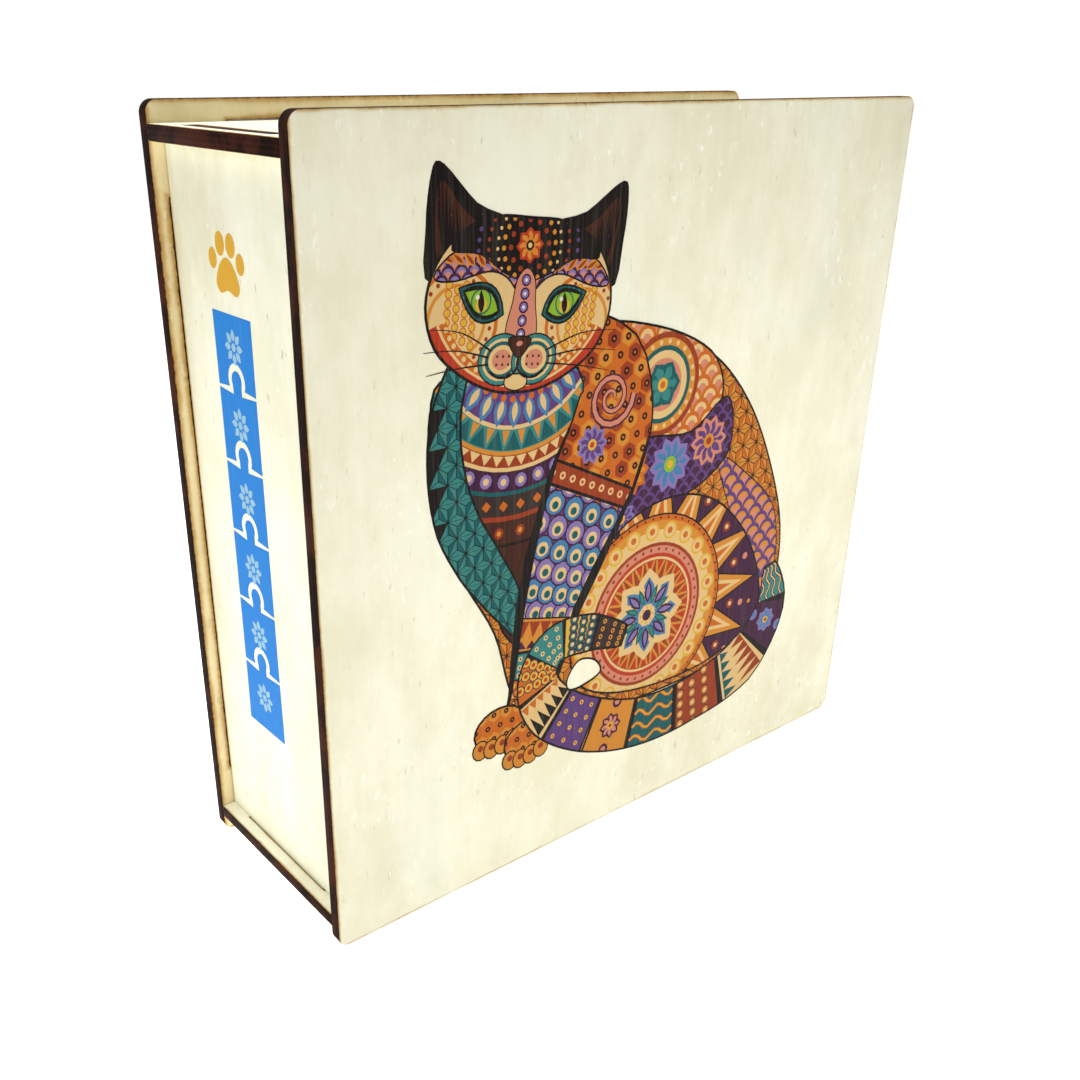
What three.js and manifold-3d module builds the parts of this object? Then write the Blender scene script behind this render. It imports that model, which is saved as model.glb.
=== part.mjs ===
// A boxed wooden jigsaw puzzle. The case is laser-cut from thin plywood and stands on the lower edges
// of its two covers. The front cover lifts off, with a board behind it that fits inside the case. In the
// case are a press-seal bag of loose wooden pieces, cut so that they fit together as a square, and a
// picture card behind the bag.
//
// Millimetres. X is the width, Y the depth (the front cover faces -Y) and Z the height. The origin is
// the middle of the footprint, on the surface that the case stands on.

import * as THREE from 'three';
import { mergeVertices } from 'three/addons/utils/BufferGeometryUtils.js';
import Module from 'manifold-3d';

const wasm = await Module();
wasm.setup();

// Case: outer size, and how its boards sit in it
const WIDTH = 160;
const HEIGHT = 158;
const DEPTH = 54;
const PLY = 3; // thickness of every board
const OVERHANG = 4; // the covers stand this far past the top and bottom walls
const SETBACK = 3; // the side walls sit this far in from the covers' upright edges
const CORNER = 2.5; // radius of the covers' corners

// Tabs and slots
const KERF = 0.15; // clearance all round a tab in its slot
const PIERCE = 0.7; // extra length at the front end of a side wall's slot, where the cut starts
const TOP_SHOULDER = 8; // wall left on each side of a tab that enters the top or bottom wall
const BACK_SHOULDER = 10; // wall left on each side of a tab that enters the back cover

// Lid
const LID_CLEARANCE = 0.4; // gap round the locating board inside the case

// Jigsaw pieces
const PIECES_PER_SIDE = 6; // the finished puzzle is a square of this many pieces each way
const PIECE_HALF = 10.4; // half of a piece's body, between its edges
const KNOB_RADIUS = 3.2;
const KNOB_OFFSET = 2.6; // from the piece's edge to the middle of the knob's circle
const KNOB_STEPS = 9; // straight steps round a knob or a socket
const CELL = 33; // room that one piece takes in the bag, whichever way it is turned
const LAYER = 6.5; // depth of one layer of pieces in the bag
const TILT = 5; // most that a piece leans, in degrees
const ROWS_CENTRE = 64; // height of the middle of the heap of pieces

// Press-seal bag
const FILM = 0.4; // thickness of its film
const POCKET_HALF_WIDTH = 70;
const POCKET_BOTTOM = 10.4;
const POCKET_TOP = 122.4;
const SEAM = 3; // flat welded border round the pocket
const MOUTH = 15; // flat length above the pocket, which holds the zip
const BULGE = 16.5; // how far each film stands out over the heap
const BAG_Y = 5; // depth at which the two films meet
const FILM_COLUMNS = 20; // faces across each film
const FILM_ROWS = 18; // faces up each film
const ZIP_HEIGHT = 2.5;
const ZIP_DEPTH = 0.8;
const ZIP_GAP = 3; // from the pocket's top to the zip

// Picture card
const CARD_WIDTH = 136;
const CARD_HEIGHT = 132;
const CARD_THICKNESS = 0.6;
const CARD_Y = 23; // its front face
const CARD_LIFT = 0.4; // gap under it

// Planes that the boards share
const FRONT = -DEPTH / 2;
const BACK = DEPTH / 2;
const WALLS_FRONT = FRONT + PLY;
const WALLS_BACK = BACK - PLY;
const WALLS_TOP = HEIGHT - OVERHANG;
const INSIDE_TOP = WALLS_TOP - PLY;
const INSIDE_BOTTOM = OVERHANG + PLY;
const SIDE_OUTER = WIDTH / 2 - SETBACK;
const SIDE_INNER = SIDE_OUTER - PLY;

// Tab lengths
const TOP_TAB = WALLS_BACK - WALLS_FRONT - 2 * TOP_SHOULDER;
const SIDE_BACK_TAB = INSIDE_TOP - INSIDE_BOTTOM - 2 * BACK_SHOULDER;
const WALL_BACK_TAB = 2 * (SIDE_INNER - BACK_SHOULDER);

const puzzle = new THREE.Group();

const looks = {
  ply: { color: 0xf4efd0, roughness: 0.62 },
  picturePly: { color: 0xd98a3c, roughness: 0.5 },
  film: { color: 0xe9eef0, roughness: 0.15 },
  card: { color: 0xf1efe8, roughness: 0.45 },
};

function addPart(name, geometry, look) {
  const material = new THREE.MeshStandardMaterial({ ...looks[look], metalness: 0 });
  const part = new THREE.Mesh(geometry, material);
  part.name = name;
  puzzle.add(part);
  return part;
}

// ---- Boards ----

function board(shape) {
  return new THREE.ExtrudeGeometry(shape, { depth: PLY, bevelEnabled: false, curveSegments: 6 });
}

// A rectangle walked counterclockwise, with a tab as deep as a board in the middle of any side.
// tabs gives the tabs' lengths for the lower, right, upper and left sides; 0 is no tab.
function tabbedRectangle(low, high, tabs) {
  const corners = [low, new THREE.Vector2(high.x, low.y), high, new THREE.Vector2(low.x, high.y)];
  const outline = [];
  corners.forEach((corner, side) => {
    outline.push(corner);
    if (tabs[side] === 0) return;
    const next = corners[(side + 1) % corners.length];
    const along = next.clone().sub(corner).normalize();
    const outward = new THREE.Vector2(along.y, -along.x);
    const middle = corner.clone().add(next).multiplyScalar(0.5);
    const start = middle.clone().addScaledVector(along, -tabs[side] / 2);
    const end = middle.clone().addScaledVector(along, tabs[side] / 2);
    const rise = outward.multiplyScalar(PLY);
    outline.push(start, start.clone().add(rise), end.clone().add(rise), end);
  });
  return new THREE.Shape(outline);
}

function toSolid(geometry) {
  const bare = geometry.clone();
  bare.deleteAttribute('normal');
  bare.deleteAttribute('uv');
  const merged = mergeVertices(bare);
  const vertProperties = new Float32Array(merged.attributes.position.array);
  const triVerts = new Uint32Array(merged.index.array);
  return new wasm.Manifold(new wasm.Mesh({ numProp: 3, vertProperties, triVerts }));
}

// Cuts a box-shaped slot through a board. The box is given by its range along each axis.
function cutSlot(geometry, [x0, x1], [y0, y1], [z0, z1]) {
  const slot = new THREE.BoxGeometry(x1 - x0, y1 - y0, z1 - z0);
  slot.translate((x0 + x1) / 2, (y0 + y1) / 2, (z0 + z1) / 2);
  const mesh = toSolid(geometry).subtract(toSolid(slot)).getMesh();
  const cut = new THREE.BufferGeometry();
  cut.setAttribute('position', new THREE.BufferAttribute(mesh.vertProperties, 3));
  cut.setIndex(new THREE.BufferAttribute(mesh.triVerts, 1));
  return cut;
}

// A slot's range across a board whose near face is given: the board and a kerf on each side
function acrossBoard(nearFace) {
  return [nearFace - KERF, nearFace + PLY + KERF];
}

// A range that runs past both faces of a board, so that a slot goes right through it
function throughBoard(nearFace) {
  return [nearFace - 1, nearFace + PLY + 1];
}

// A cover's outline in X and Z: four round corners, which straight edges join
function coverOutline() {
  const side = WIDTH / 2 - CORNER;
  const quarter = Math.PI / 2;
  const shape = new THREE.Shape();
  shape.absarc(side, CORNER, CORNER, -quarter, 0);
  shape.absarc(side, HEIGHT - CORNER, CORNER, 0, quarter);
  shape.absarc(-side, HEIGHT - CORNER, CORNER, quarter, 2 * quarter);
  shape.absarc(-side, CORNER, CORNER, 2 * quarter, 3 * quarter);
  return shape;
}

// Stands a board that is drawn in X and Z upright, with its back face at the depth given
function standUpright(geometry, backFace) {
  return geometry.rotateX(Math.PI / 2).translate(0, backFace, 0);
}

function addCovers() {
  addPart('front_cover', standUpright(board(coverOutline()), WALLS_FRONT), 'ply');

  let back = standUpright(board(coverOutline()), BACK);
  const wide = WALL_BACK_TAB / 2 + KERF;
  const low = INSIDE_BOTTOM + BACK_SHOULDER - KERF;
  const high = INSIDE_TOP - BACK_SHOULDER + KERF;
  for (const underside of [OVERHANG, INSIDE_TOP]) {
    back = cutSlot(back, [-wide, wide], throughBoard(WALLS_BACK), acrossBoard(underside));
  }
  for (const nearFace of [-SIDE_OUTER, SIDE_INNER]) {
    back = cutSlot(back, acrossBoard(nearFace), throughBoard(WALLS_BACK), [low, high]);
  }
  addPart('back_cover', back, 'ply');
}

// The locating board is glued to the back of the front cover and holds it on the case
function addLidBoard() {
  const halfWidth = SIDE_INNER - LID_CLEARANCE;
  const low = new THREE.Vector2(-halfWidth, INSIDE_BOTTOM + LID_CLEARANCE);
  const high = new THREE.Vector2(halfWidth, INSIDE_TOP - LID_CLEARANCE);
  const shape = tabbedRectangle(low, high, [0, 0, 0, 0]);
  addPart('lid_board', standUpright(board(shape), WALLS_FRONT + PLY), 'ply');
}

// The top and bottom walls run the whole width, take the side walls' tabs and enter the back cover
function addLevelWall(name, underside) {
  const low = new THREE.Vector2(-WIDTH / 2, WALLS_FRONT);
  const high = new THREE.Vector2(WIDTH / 2, WALLS_BACK);
  const shape = tabbedRectangle(low, high, [0, 0, WALL_BACK_TAB, 0]);
  let wall = board(shape).translate(0, 0, underside);
  const slotDepth = [-TOP_TAB / 2 - KERF - PIERCE, TOP_TAB / 2 + KERF];
  for (const nearFace of [-SIDE_OUTER, SIDE_INNER]) {
    wall = cutSlot(wall, acrossBoard(nearFace), slotDepth, throughBoard(underside));
  }
  addPart(name, wall, 'ply');
}

// A side wall is drawn in Y and Z. Its upper and lower tabs end flush with the walls' outer faces.
function addSideWall(name, nearFace) {
  const low = new THREE.Vector2(WALLS_FRONT, INSIDE_BOTTOM);
  const high = new THREE.Vector2(WALLS_BACK, INSIDE_TOP);
  const shape = tabbedRectangle(low, high, [TOP_TAB, SIDE_BACK_TAB, TOP_TAB, 0]);
  const toYZ = new THREE.Matrix4().makeBasis(
    new THREE.Vector3(0, 1, 0), new THREE.Vector3(0, 0, 1), new THREE.Vector3(1, 0, 0));
  addPart(name, board(shape).applyMatrix4(toYZ).translate(nearFace, 0, 0), 'ply');
}

// ---- Jigsaw pieces ----

// A piece is a square with a round knob (+1), a round socket (-1) or a straight edge (0) on each side.
function pieceOutline(sides) {
  const neck = Math.sqrt(KNOB_RADIUS ** 2 - KNOB_OFFSET ** 2);
  const startAngle = Math.PI + Math.atan2(KNOB_OFFSET, neck);
  const sweep = 2 * startAngle - Math.PI;
  const outline = [];
  sides.forEach((sign, side) => {
    const turn = side * Math.PI / 2;
    const along = new THREE.Vector2(Math.cos(turn), Math.sin(turn));
    const outward = new THREE.Vector2(along.y, -along.x);
    const place = (t, s) => outward.clone().multiplyScalar(PIECE_HALF + s).addScaledVector(along, t);
    outline.push(place(-PIECE_HALF, 0));
    if (sign === 0) return;
    for (let step = 0; step <= KNOB_STEPS; step += 1) {
      const angle = startAngle - sweep * step / KNOB_STEPS;
      const rise = KNOB_OFFSET + KNOB_RADIUS * Math.sin(angle);
      outline.push(place(KNOB_RADIUS * Math.cos(angle), sign * rise));
    }
  });
  return new THREE.Shape(outline);
}

// The cut between two neighbours bulges one way or the other by turns, and the border is straight.
function cutBetween(column, row) {
  return (column + row) % 2 === 0 ? 1 : -1;
}

function sidesOfPiece(column, row) {
  const last = PIECES_PER_SIDE - 1;
  return [
    row === 0 ? 0 : -cutBetween(column, row),
    column === last ? 0 : cutBetween(column + 1, row),
    row === last ? 0 : cutBetween(column, row + 1),
    column === 0 ? 0 : -cutBetween(column, row),
  ];
}

// Places in the bag: two full layers in the middle of the heap, and a smaller one on each side
function heapPlaces() {
  const layers = [[3, 2], [4, 3], [4, 3], [3, 2]];
  const places = [];
  layers.forEach(([columns, rows], layer) => {
    const y = BAG_Y + (layer - (layers.length - 1) / 2) * LAYER;
    for (let row = 0; row < rows; row += 1) {
      for (let column = 0; column < columns; column += 1) {
        const x = (column - (columns - 1) / 2) * CELL;
        const z = ROWS_CENTRE + (row - (rows - 1) / 2) * CELL;
        places.push(new THREE.Vector3(x, y, z));
      }
    }
  });
  return places;
}

// A steady scatter between -1 and 1, so that the heap is the same each time
function scatter(index, salt) {
  const wave = Math.sin(index * 12.9898 + salt * 78.233) * 43758.5453;
  return 2 * (wave - Math.floor(wave)) - 1;
}

function addPieces() {
  const places = heapPlaces();
  const total = PIECES_PER_SIDE ** 2;
  const stride = 5; // shares no factor with the total, so each place is used once
  for (let index = 0; index < total; index += 1) {
    const column = index % PIECES_PER_SIDE;
    const row = Math.floor(index / PIECES_PER_SIDE);
    const shape = pieceOutline(sidesOfPiece(column, row));
    const geometry = board(shape).translate(0, 0, -PLY / 2);
    const number = String(index + 1).padStart(2, '0');
    const piece = addPart(`puzzle_piece_${number}`, geometry, 'picturePly');
    piece.position.copy(places[(index * stride) % total]);
    piece.rotation.order = 'XZY';
    piece.rotation.x = Math.PI / 2 + THREE.MathUtils.degToRad(TILT * scatter(index, 1));
    piece.rotation.y = THREE.MathUtils.degToRad(TILT * scatter(index, 2));
    piece.rotateZ(Math.PI * scatter(index, 3));
  }
}

// ---- Press-seal bag ----

// How far a film stands out from the plane where the two films meet
function bulge(x, z) {
  const middle = (POCKET_BOTTOM + POCKET_TOP) / 2;
  const across = Math.min(1, Math.abs(x) / POCKET_HALF_WIDTH);
  const up = Math.min(1, Math.abs(z - middle) / (POCKET_TOP - middle));
  return BULGE * Math.cbrt(1 - across ** 3) * Math.cbrt(1 - up ** 3);
}

// Where a grid line of a film lies, for t from -1 to 1 over a number of steps. The last step at each
// end is the flat border, and the lines between crowd towards the pocket's edges.
function gridLine(t, steps, halfPocket, border) {
  const pocketEnd = 1 - 2 / steps;
  if (Math.abs(t) > pocketEnd + 0.5 / steps) return Math.sign(t) * (halfPocket + border);
  return halfPocket * Math.sin(t / pocketEnd * Math.PI / 2);
}

// side is -1 for the front film and 1 for the back one
function filmGeometry(side) {
  const middle = (POCKET_BOTTOM + POCKET_TOP) / 2;
  const geometry = new THREE.BoxGeometry(2, 1, 2, FILM_COLUMNS, 1, FILM_ROWS);
  const position = geometry.attributes.position;
  for (let i = 0; i < position.count; i += 1) {
    const up = position.getZ(i);
    const border = up < 0 ? SEAM : MOUTH;
    const x = gridLine(position.getX(i), FILM_COLUMNS, POCKET_HALF_WIDTH, SEAM);
    const z = middle + gridLine(up, FILM_ROWS, POCKET_TOP - middle, border);
    const outer = Math.sign(position.getY(i)) === side ? FILM : 0;
    position.setXYZ(i, x, BAG_Y + side * (bulge(x, z) + outer), z);
  }
  return geometry;
}

function addBag() {
  for (const [word, side] of [['front', -1], ['back', 1]]) {
    addPart(`bag_${word}_film`, filmGeometry(side), 'film');
    const rail = new THREE.BoxGeometry(2 * POCKET_HALF_WIDTH, ZIP_DEPTH, ZIP_HEIGHT);
    const height = POCKET_TOP + ZIP_GAP + ZIP_HEIGHT / 2;
    rail.translate(0, BAG_Y + side * (FILM + ZIP_DEPTH / 2), height);
    addPart(`zip_rail_${word}`, rail, 'film');
  }
}

// ---- Picture card ----

function addCard() {
  const card = new THREE.BoxGeometry(CARD_WIDTH, CARD_THICKNESS, CARD_HEIGHT);
  const height = INSIDE_BOTTOM + CARD_LIFT + CARD_HEIGHT / 2;
  card.translate(0, CARD_Y + CARD_THICKNESS / 2, height);
  addPart('picture_card', card, 'card');
}

addCovers();
addLidBoard();
addLevelWall('top_wall', INSIDE_TOP);
addLevelWall('bottom_wall', OVERHANG);
addSideWall('left_wall', -SIDE_OUTER);
addSideWall('right_wall', SIDE_INNER);
addBag();
addPieces();
addCard();

export default puzzle;
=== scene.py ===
# %% [markdown]
# # A boxed wooden jigsaw puzzle
# The case is seven plywood boards from a laser cutter. The laser leaves two marks that make the case
# look real: cut edges burnt nearly black, and a tan scorch that fades over the faces beside each cut.
# The front cover carries a printed cat made of many small patterns. Inside are a clear bag of loose
# pieces and a picture card. The frame holds every size and place, so this script only finishes it.

# %% Load the frame
import bmesh
import bpy
import math
from mathutils import Matrix, Vector, geometry, noise


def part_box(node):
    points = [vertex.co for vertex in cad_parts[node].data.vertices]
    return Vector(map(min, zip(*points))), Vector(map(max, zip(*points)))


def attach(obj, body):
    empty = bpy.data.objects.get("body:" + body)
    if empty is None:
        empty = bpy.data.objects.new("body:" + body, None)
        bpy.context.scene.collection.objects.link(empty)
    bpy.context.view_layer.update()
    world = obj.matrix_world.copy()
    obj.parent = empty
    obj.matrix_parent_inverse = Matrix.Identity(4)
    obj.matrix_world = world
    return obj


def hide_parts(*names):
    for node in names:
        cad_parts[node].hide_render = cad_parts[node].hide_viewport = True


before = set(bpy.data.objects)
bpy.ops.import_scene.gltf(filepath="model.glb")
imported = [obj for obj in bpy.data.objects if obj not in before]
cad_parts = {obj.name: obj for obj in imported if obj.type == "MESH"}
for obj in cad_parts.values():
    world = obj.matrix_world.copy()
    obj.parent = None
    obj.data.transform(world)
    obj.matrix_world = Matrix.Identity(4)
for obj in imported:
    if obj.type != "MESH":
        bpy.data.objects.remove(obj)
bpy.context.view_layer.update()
MM = 0.001
cover_low, cover_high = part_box("front_cover")
WIDTH = cover_high.x - cover_low.x
HEIGHT = cover_high.z - cover_low.z
PLY = cover_high.y - cover_low.y
print("front cover", [round(side / MM, 1) for side in (WIDTH, PLY, HEIGHT)], "mm")

# %% [markdown]
# ## The camera
# The case is seen from its left front corner, a little from above, by a lens close to it, so the
# upright edges lean together towards the bottom. A tilted camera gives that lean by itself. The shift
# moves the picture in the frame without turning the camera.

# %% Place the camera
bpy.ops.object.select_all(action="DESELECT")
bpy.ops.object.camera_add(
    location=(-0.17037, -0.18894, 0.16472),
    rotation=(math.radians(64.76), math.radians(-0.41), math.radians(-38.59)),
)
camera = bpy.context.object
camera.name = "viewpoint"
camera.data.lens = 38.41
camera.data.sensor_width = 36
camera.data.shift_x = 0.0421
camera.data.shift_y = 0.0582
camera.data.clip_start = 0.005
bpy.context.scene.camera = camera
print("camera lens", camera.data.lens, "mm")

# %% [markdown]
# ## Helpers for materials
# Every finish here is built from nodes. These short helpers add a node, set its inputs and link its
# sockets, so that each material below reads as a list of steps. A plain number sets a socket's value
# and a socket given in its place is linked.


# %% Node helpers
def srgb(red, green, blue):
    """A colour from 0-255 screen values, as the linear RGBA that a socket holds."""
    def linear(value):
        value /= 255
        return value / 12.92 if value <= 0.04045 else ((value + 0.055) / 1.055) ** 2.4
    return (linear(red), linear(green), linear(blue), 1.0)


def feed(tree, socket, value):
    """Links a socket, or sets a plain value."""
    if isinstance(value, bpy.types.NodeSocket):
        tree.links.new(value, socket)
    else:
        socket.default_value = value


def add(tree, kind, settings=None, **inputs):
    """Adds a node. Underscores in the input names stand for spaces."""
    node = tree.nodes.new(kind)
    for name, value in (settings or {}).items():
        setattr(node, name, value)
    for name, value in inputs.items():
        feed(tree, node.inputs[name.replace("_", " ")], value)
    return node


def maths(tree, operation, first, second=0.0, clamp=False):
    node = add(tree, "ShaderNodeMath", {"operation": operation, "use_clamp": clamp})
    feed(tree, node.inputs[0], first)
    feed(tree, node.inputs[1], second)
    return node.outputs[0]


def blend_colours(tree, amount, below, above, how="MIX"):
    node = add(tree, "ShaderNodeMix", {"data_type": "RGBA", "blend_type": how})
    feed(tree, node.inputs["Factor"], amount)
    feed(tree, node.inputs[6], below)
    feed(tree, node.inputs[7], above)
    return node.outputs[2]


def fade(tree, value, start, end, low=0.0, high=1.0):
    """Maps a value smoothly from one range to another and stops at the ends."""
    node = add(tree, "ShaderNodeMapRange", {"interpolation_type": "SMOOTHSTEP"})
    for place, number in enumerate((value, start, end, low, high)):
        feed(tree, node.inputs[place], number)
    return node.outputs[0]


def noise_at(tree, vector, scale, stretch=(1, 1, 1), detail=3.0, roughness=0.55):
    stretched = add(tree, "ShaderNodeVectorMath", {"operation": "MULTIPLY"})
    feed(tree, stretched.inputs[0], vector)
    stretched.inputs[1].default_value = stretch
    pattern = add(
        tree, "ShaderNodeTexNoise", Vector=stretched.outputs[0], Scale=scale, Detail=detail,
        Roughness=roughness,
    )
    return pattern.outputs["Fac"]


def new_group(name, inputs, outputs):
    """A shader node group with named sockets: vectors, floats or colours."""
    group = bpy.data.node_groups.new(name, "ShaderNodeTree")
    for label, kind in inputs:
        group.interface.new_socket(label, in_out="INPUT", socket_type=kind)
    for label, kind in outputs:
        group.interface.new_socket(label, in_out="OUTPUT", socket_type=kind)
    return group, group.nodes.new("NodeGroupInput").outputs, group.nodes.new("NodeGroupOutput").inputs


def use_group(tree, group, **inputs):
    node = add(tree, "ShaderNodeGroup", {"node_tree": group})
    for name, value in inputs.items():
        feed(tree, node.inputs[name.replace("_", " ")], value)
    return node


def new_material(name, **fixed):
    """A Principled material. Values that are the same all over are set on its own sockets."""
    material = bpy.data.materials.new(name)
    material.use_nodes = True
    surface = material.node_tree.nodes["Principled BSDF"]
    for label, value in fixed.items():
        surface.inputs[label.replace("_", " ")].default_value = value
    return material, material.node_tree, surface


FLOAT, VECTOR, COLOUR = "NodeSocketFloat", "NodeSocketVector", "NodeSocketColor"
print("node helpers ready")

# %% [markdown]
# ## Basswood faces
# The boards are faced with pale basswood veneer. Its grain hardly shows: long soft streaks, broad
# mottling with faint tan and grey stains, small dark flecks, and pale torn fibres where the veneer was
# sliced. Wood textures with rings would be far too strong, so the group stretches plain noise along
# the grain instead. It reads a vector whose X runs across the grain and whose Z runs along it.

# %% Veneer group
veneer, given, made = new_group(
    "Basswood veneer",
    [("Vector", VECTOR), ("Pale", COLOUR), ("Deep", COLOUR)],
    [("Colour", COLOUR), ("Height", FLOAT), ("Roughness", FLOAT)],
)
LONG_GRAIN = (1, 1, 0.045)
streaks = noise_at(veneer, given["Vector"], 1400, LONG_GRAIN, detail=4)
bands = noise_at(veneer, given["Vector"], 210, (1, 1, 0.10), detail=3)
mottle = noise_at(veneer, given["Vector"], 55, (1, 1, 0.6), detail=5, roughness=0.65)
tone = fade(veneer, streaks, 0.3, 0.72, 0.0, 0.08)
tone = maths(veneer, "ADD", tone, fade(veneer, bands, 0.3, 0.7, 0.0, 0.14))
tone = maths(veneer, "ADD", tone, fade(veneer, mottle, 0.32, 0.68, 0.0, 0.78))
wood_colour = blend_colours(veneer, tone, given["Pale"], given["Deep"])

stains = noise_at(veneer, given["Vector"], 22, (1, 1, 0.5), detail=6, roughness=0.72)
TAN_STAIN, GREY_STAIN = (206, 197, 166), (214, 220, 208)
for low, high, strength, tint in ((0.54, 0.70, 0.30, TAN_STAIN), (0.46, 0.30, 0.26, GREY_STAIN)):
    stain_mask = fade(veneer, stains, low, high, 0.0, strength)
    wood_colour = blend_colours(veneer, stain_mask, wood_colour, srgb(*tint))

patches = noise_at(veneer, given["Vector"], 34, detail=3)
torn = fade(veneer, patches, 0.44, 0.60)
flecks = noise_at(veneer, given["Vector"], 820, (1, 1, 0.26), detail=3)
crowding = fade(veneer, patches, 0.40, 0.60, 0.25, 1.0)
fleck_mask = maths(veneer, "MULTIPLY", fade(veneer, flecks, 0.655, 0.73), crowding)
fibres = noise_at(veneer, given["Vector"], 700, (1, 1, 0.5), detail=4)
fibre_mask = maths(veneer, "MULTIPLY", fade(veneer, fibres, 0.60, 0.68), torn)
for mask, strength, tint in ((fleck_mask, 0.40, (150, 128, 92)), (fibre_mask, 0.65, (253, 252, 240))):
    strong = maths(veneer, "MULTIPLY", mask, strength)
    wood_colour = blend_colours(veneer, strong, wood_colour, srgb(*tint))
veneer.links.new(wood_colour, made["Colour"])
height = maths(veneer, "SUBTRACT", maths(veneer, "ADD", streaks, fibre_mask), fleck_mask)
veneer.links.new(height, made["Height"])
veneer.links.new(fade(veneer, tone, 0.0, 1.0, 0.52, 0.68), made["Roughness"])
print("veneer group:", len(veneer.nodes), "nodes")

# %% [markdown]
# ## Distance from a cut
# The scorch is strongest at a cut and fades away from it, so each board needs the distance from a
# point on its face to the nearest cut. A board's outline and its slots are all rectangles, and the
# distance inside a rectangle is the smaller of two gaps. Outside it the same sum is negative, which
# serves for a slot. This is worked out in the material, because a mesh fine enough to hold the
# fade would be very heavy.

# %% Distance group
cut_distance, given, made = new_group(
    "Distance inside a rectangle",
    [(label, FLOAT) for label in ("U", "V", "Middle U", "Middle V", "Half U", "Half V")],
    [("Distance", FLOAT)],
)
gaps = []
for axis in ("U", "V"):
    offset = maths(cut_distance, "SUBTRACT", given[axis], given["Middle " + axis])
    offset = maths(cut_distance, "ABSOLUTE", offset)
    gaps.append(maths(cut_distance, "SUBTRACT", given["Half " + axis], offset))
cut_distance.links.new(maths(cut_distance, "MINIMUM", gaps[0], gaps[1]), made["Distance"])
print("distance group ready")

# %% [markdown]
# ## Burnt edges
# The beam cuts through three plies. The cut is glassy black-brown, with fine upright ridges where the
# beam stepped along and a slightly lighter band for each ply. On the face it leaves a dark line at the
# very edge, then amber, then a faint tan. Smoke drifts, so noise makes the fade uneven.

# %% Scorch group
scorch, given, made = new_group(
    "Laser scorch",
    [("Vector", VECTOR), ("Distance", FLOAT), ("Through", FLOAT), ("Half Ply", FLOAT), ("Reach", FLOAT),
     ("Face Colour", COLOUR), ("Face Roughness", FLOAT)],
    [("Colour", COLOUR), ("Roughness", FLOAT), ("Char", FLOAT), ("Ridges", FLOAT)],
)
drift = noise_at(scorch, given["Vector"], 95, detail=4)
fine = noise_at(scorch, given["Vector"], 900, detail=3)
reach = maths(scorch, "MULTIPLY", given["Reach"], fade(scorch, drift, 0.3, 0.72, 0.65, 1.4))
ratio = maths(scorch, "DIVIDE", given["Distance"], reach)
falling = maths(scorch, "MULTIPLY", maths(scorch, "MAXIMUM", ratio, 0.0), -1.0)
soft = maths(scorch, "EXPONENT", falling)
soft = maths(scorch, "MULTIPLY", soft, fade(scorch, fine, 0.2, 0.8, 0.8, 1.15))
tan_mask = fade(scorch, soft, 0.02, 0.5)
tan = blend_colours(scorch, tan_mask, given["Face Colour"], srgb(216, 188, 140), "MULTIPLY")
amber = blend_colours(scorch, fade(scorch, soft, 0.52, 0.92), tan, srgb(122, 84, 44))
face = blend_colours(scorch, fade(scorch, soft, 0.80, 1.0), amber, srgb(40, 20, 9))

inner = maths(scorch, "SUBTRACT", given["Half Ply"], maths(scorch, "ABSOLUTE", given["Through"]))
char = fade(scorch, inner, 0.02 * MM, 0.16 * MM)
ridges = noise_at(scorch, given["Vector"], 2600, detail=2)
layer_wave = maths(scorch, "SINE", maths(scorch, "MULTIPLY", given["Through"], 3.0 * math.pi / (1.5 * MM)))
layer_tone = maths(scorch, "ADD", fade(scorch, layer_wave, -1.0, 1.0, 0.0, 0.18),
                   fade(scorch, drift, 0.44, 0.60, 0.0, 0.55))
burnt = blend_colours(scorch, layer_tone, srgb(10, 4, 2), srgb(80, 36, 19))
burnt = blend_colours(scorch, fade(scorch, ridges, 0.5, 0.75, 0.0, 0.2), burnt, srgb(78, 38, 20))
scorch.links.new(blend_colours(scorch, char, face, burnt), made["Colour"])
dull = maths(scorch, "ADD", maths(scorch, "MULTIPLY", char, 0.25), given["Face Roughness"])
scorch.links.new(dull, made["Roughness"])
scorch.links.new(char, made["Char"])
scorch.links.new(ridges, made["Ridges"])
print("scorch group:", len(scorch.nodes), "nodes")

# %% [markdown]
# ## One plywood material for each board
# Each board lies its own way, so its material first turns the Object coordinates into the board's own
# directions: across the grain, through the board, and along the grain. It then measures the distance
# to the outline and to each slot, and hands all that to the two groups above.

# %% Plywood maker
X, Y, Z = 0, 1, 2


def slot_box(board, other, axis_u, axis_v, grow=0.15 * MM):
    """The rectangle of the slot that another board's tab fills: (middle, half) along both axes."""
    through = 3 - axis_u - axis_v
    middle = sum(corner[through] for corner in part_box(board)) / 2
    side = math.copysign(1, middle - sum(corner[through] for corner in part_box(other)) / 2)
    tab = [v.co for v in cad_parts[other].data.vertices if side * (v.co[through] - middle) > 0]
    rectangle = []
    for axis in (axis_u, axis_v):
        low = min(point[axis] for point in tab) - grow
        high = max(point[axis] for point in tab) + grow
        rectangle.append(((low + high) / 2, (high - low) / 2))
    return rectangle


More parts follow.
